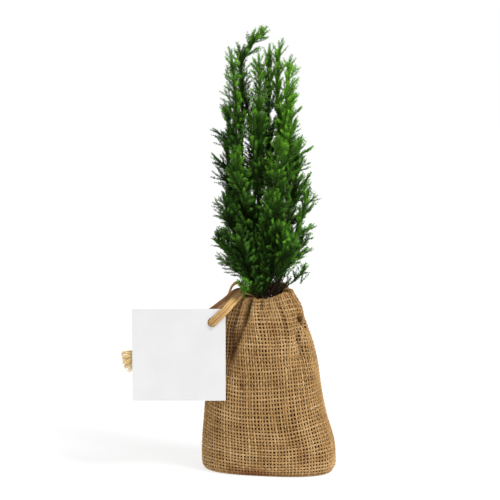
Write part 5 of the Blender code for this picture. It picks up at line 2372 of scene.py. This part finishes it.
@dataclass
class Tag:
    """The blank square card with its punched hole."""

    side: float = 69 * MM
    thickness: float = 0.9 * MM
    left: float = -101.2 * MM
    bottom: float = 57 * MM
    face: float = -23.6 * MM
    hole_radius: float = 3.4 * MM
    hole_sides: int = 40
    corner: float = 0.7 * MM
    edge: float = 0.16 * MM

    def outline(self) -> list[tuple[float, float]]:
        """The card's outline with slightly worn corners.

        Returns:
            Its corners, across and up.
        """
        half, r = self.side / 2, self.corner
        made = []
        for quarter in range(4):
            turn = math.pi / 2 * quarter
            for n in range(5):
                angle = math.pi / 2 * n / 4
                x, z = half - r + r * math.cos(angle), half - r + r * math.sin(angle)
                made.append((x * math.cos(turn) - z * math.sin(turn), x * math.sin(turn) + z * math.cos(turn)))
        return [(self.left + half + x, self.bottom + half + z) for x, z in made]

    def build(self) -> None:
        """Makes the card."""
        shape = bmesh.new()
        turns = [math.tau * n / self.hole_sides for n in range(self.hole_sides)]
        r = self.hole_radius
        hole = [(HOLE[0] + r * math.cos(turn), HOLE[1] + r * math.sin(turn)) for turn in turns]
        for loop in (self.outline(), hole):
            corners = [shape.verts.new((x, self.face + self.thickness, z)) for x, z in loop]
            for n, corner in enumerate(corners):
                shape.edges.new((corner, corners[(n + 1) % len(corners)]))
        bmesh.ops.triangle_fill(shape, use_beauty=True, use_dissolve=False, edges=shape.edges[:], normal=(0, 1, 0))
        pushed = bmesh.ops.extrude_face_region(shape, geom=shape.faces[:])
        moved = [item for item in pushed["geom"] if isinstance(item, bmesh.types.BMVert)]
        bmesh.ops.translate(shape, verts=moved, vec=(0, -self.thickness, 0))
        bmesh.ops.recalc_face_normals(shape, faces=shape.faces[:])
        rims = [edge for edge in shape.edges if len(edge.link_faces) == 2 and edge.calc_face_angle(0) > 1.2]
        bmesh.ops.bevel(shape, geom=rims, offset=self.edge, segments=2, profile=0.5, affect="EDGES")
        piece_of("tag_card", mesh_of("card", shape), CARD, ["tag"])


# Studio


@dataclass
class Studio:
    """Floor, lights and camera."""

    target: tuple = (-0.01417, 0, 0.1666)
    distance: float = 1.2
    elevation: float = 8.0
    lens: float = 115.7
    ambient: float = 0.5
    # Half the floor's width, and how far it lies below the object
    floor_size: float = 4.0
    floor_height: float = -0.2 * MM
    # Lights: the way each comes from, its strength and how wide it looks in degrees
    lights: tuple = (
        ((1.0, -0.68, 1.3), 2.5, 22.0),
        ((-0.9, -0.7, 0.6), 0.25, 40.0),
    )

    def build(self) -> None:
        """Puts up the studio."""
        scene = bpy.context.scene
        scene.view_settings.view_transform = "Standard"
        corners = [(x * self.floor_size, y * self.floor_size, 0) for x, y in ((-1, -1), (1, -1), (1, 1), (-1, 1))]
        mesh = plain_mesh("studio_floor", corners, [(0, 1, 2, 3)])
        mesh.materials.append(GROUND.material())
        floor = bpy.data.objects.new("studio_floor", mesh)
        scene.collection.objects.link(floor)
        floor.location.z = self.floor_height
        for n, (place, strength, wide) in enumerate(self.lights):
            light = bpy.data.lights.new(f"soft_light_{n + 1}", "SUN")
            light.energy, light.angle = strength, math.radians(wide)
            lamp = bpy.data.objects.new(light.name, light)
            lamp.location = place
            lamp.rotation_euler = (-Vector(place)).to_track_quat("-Z", "Y").to_euler()
            scene.collection.objects.link(lamp)
        self.surround(scene)
        camera = bpy.data.objects.new("camera", bpy.data.cameras.new("camera"))
        angle = math.radians(self.elevation)
        camera.location = Vector(self.target) + self.distance * Vector((0, -math.cos(angle), math.sin(angle)))
        camera.rotation_euler = (math.pi / 2 - angle, 0, 0)
        camera.data.lens = self.lens
        camera.data.sensor_width = 36
        scene.collection.objects.link(camera)
        scene.camera = camera

    def surround(self, scene: bpy.types.Scene) -> None:
        """A white surround that lights the object softly.

        Args:
            scene: the scene.
        """
        world = bpy.data.worlds.new("surround")
        world.use_nodes = True
        sketch = Sketch(world.node_tree)
        seen = sketch.add("ShaderNodeLightPath").outputs["Is Camera Ray"]
        strength = sketch.maths("MULTIPLY_ADD", seen, 1.0 - self.ambient, self.ambient)
        shade = sketch.first("ShaderNodeBackground", {"Color": (1, 1, 1, 1), "Strength": strength})
        sketch.add("ShaderNodeOutputWorld", {"Surface": shade})
        scene.world = world


def main() -> None:
    """Builds every sub-assembly."""
    logging.basicConfig(level=logging.INFO, format="%(message)s")
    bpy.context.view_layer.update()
    Studio().build()
    spinner = Spinner()
    cloth = Cloth()
    BurlapBag(cloth, spinner).build()
    RootBall(cloth).build()
    growth = Growth()
    shoots = growth.shoots()
    log.info("%d shoots", len(shoots))
    Limbs(growth).build(shoots)
    Foliage(growth, spinner, Needles()).build(shoots)
    Tag().build()
    Tie(spinner).build()


if __name__ == "__main__":
    main()
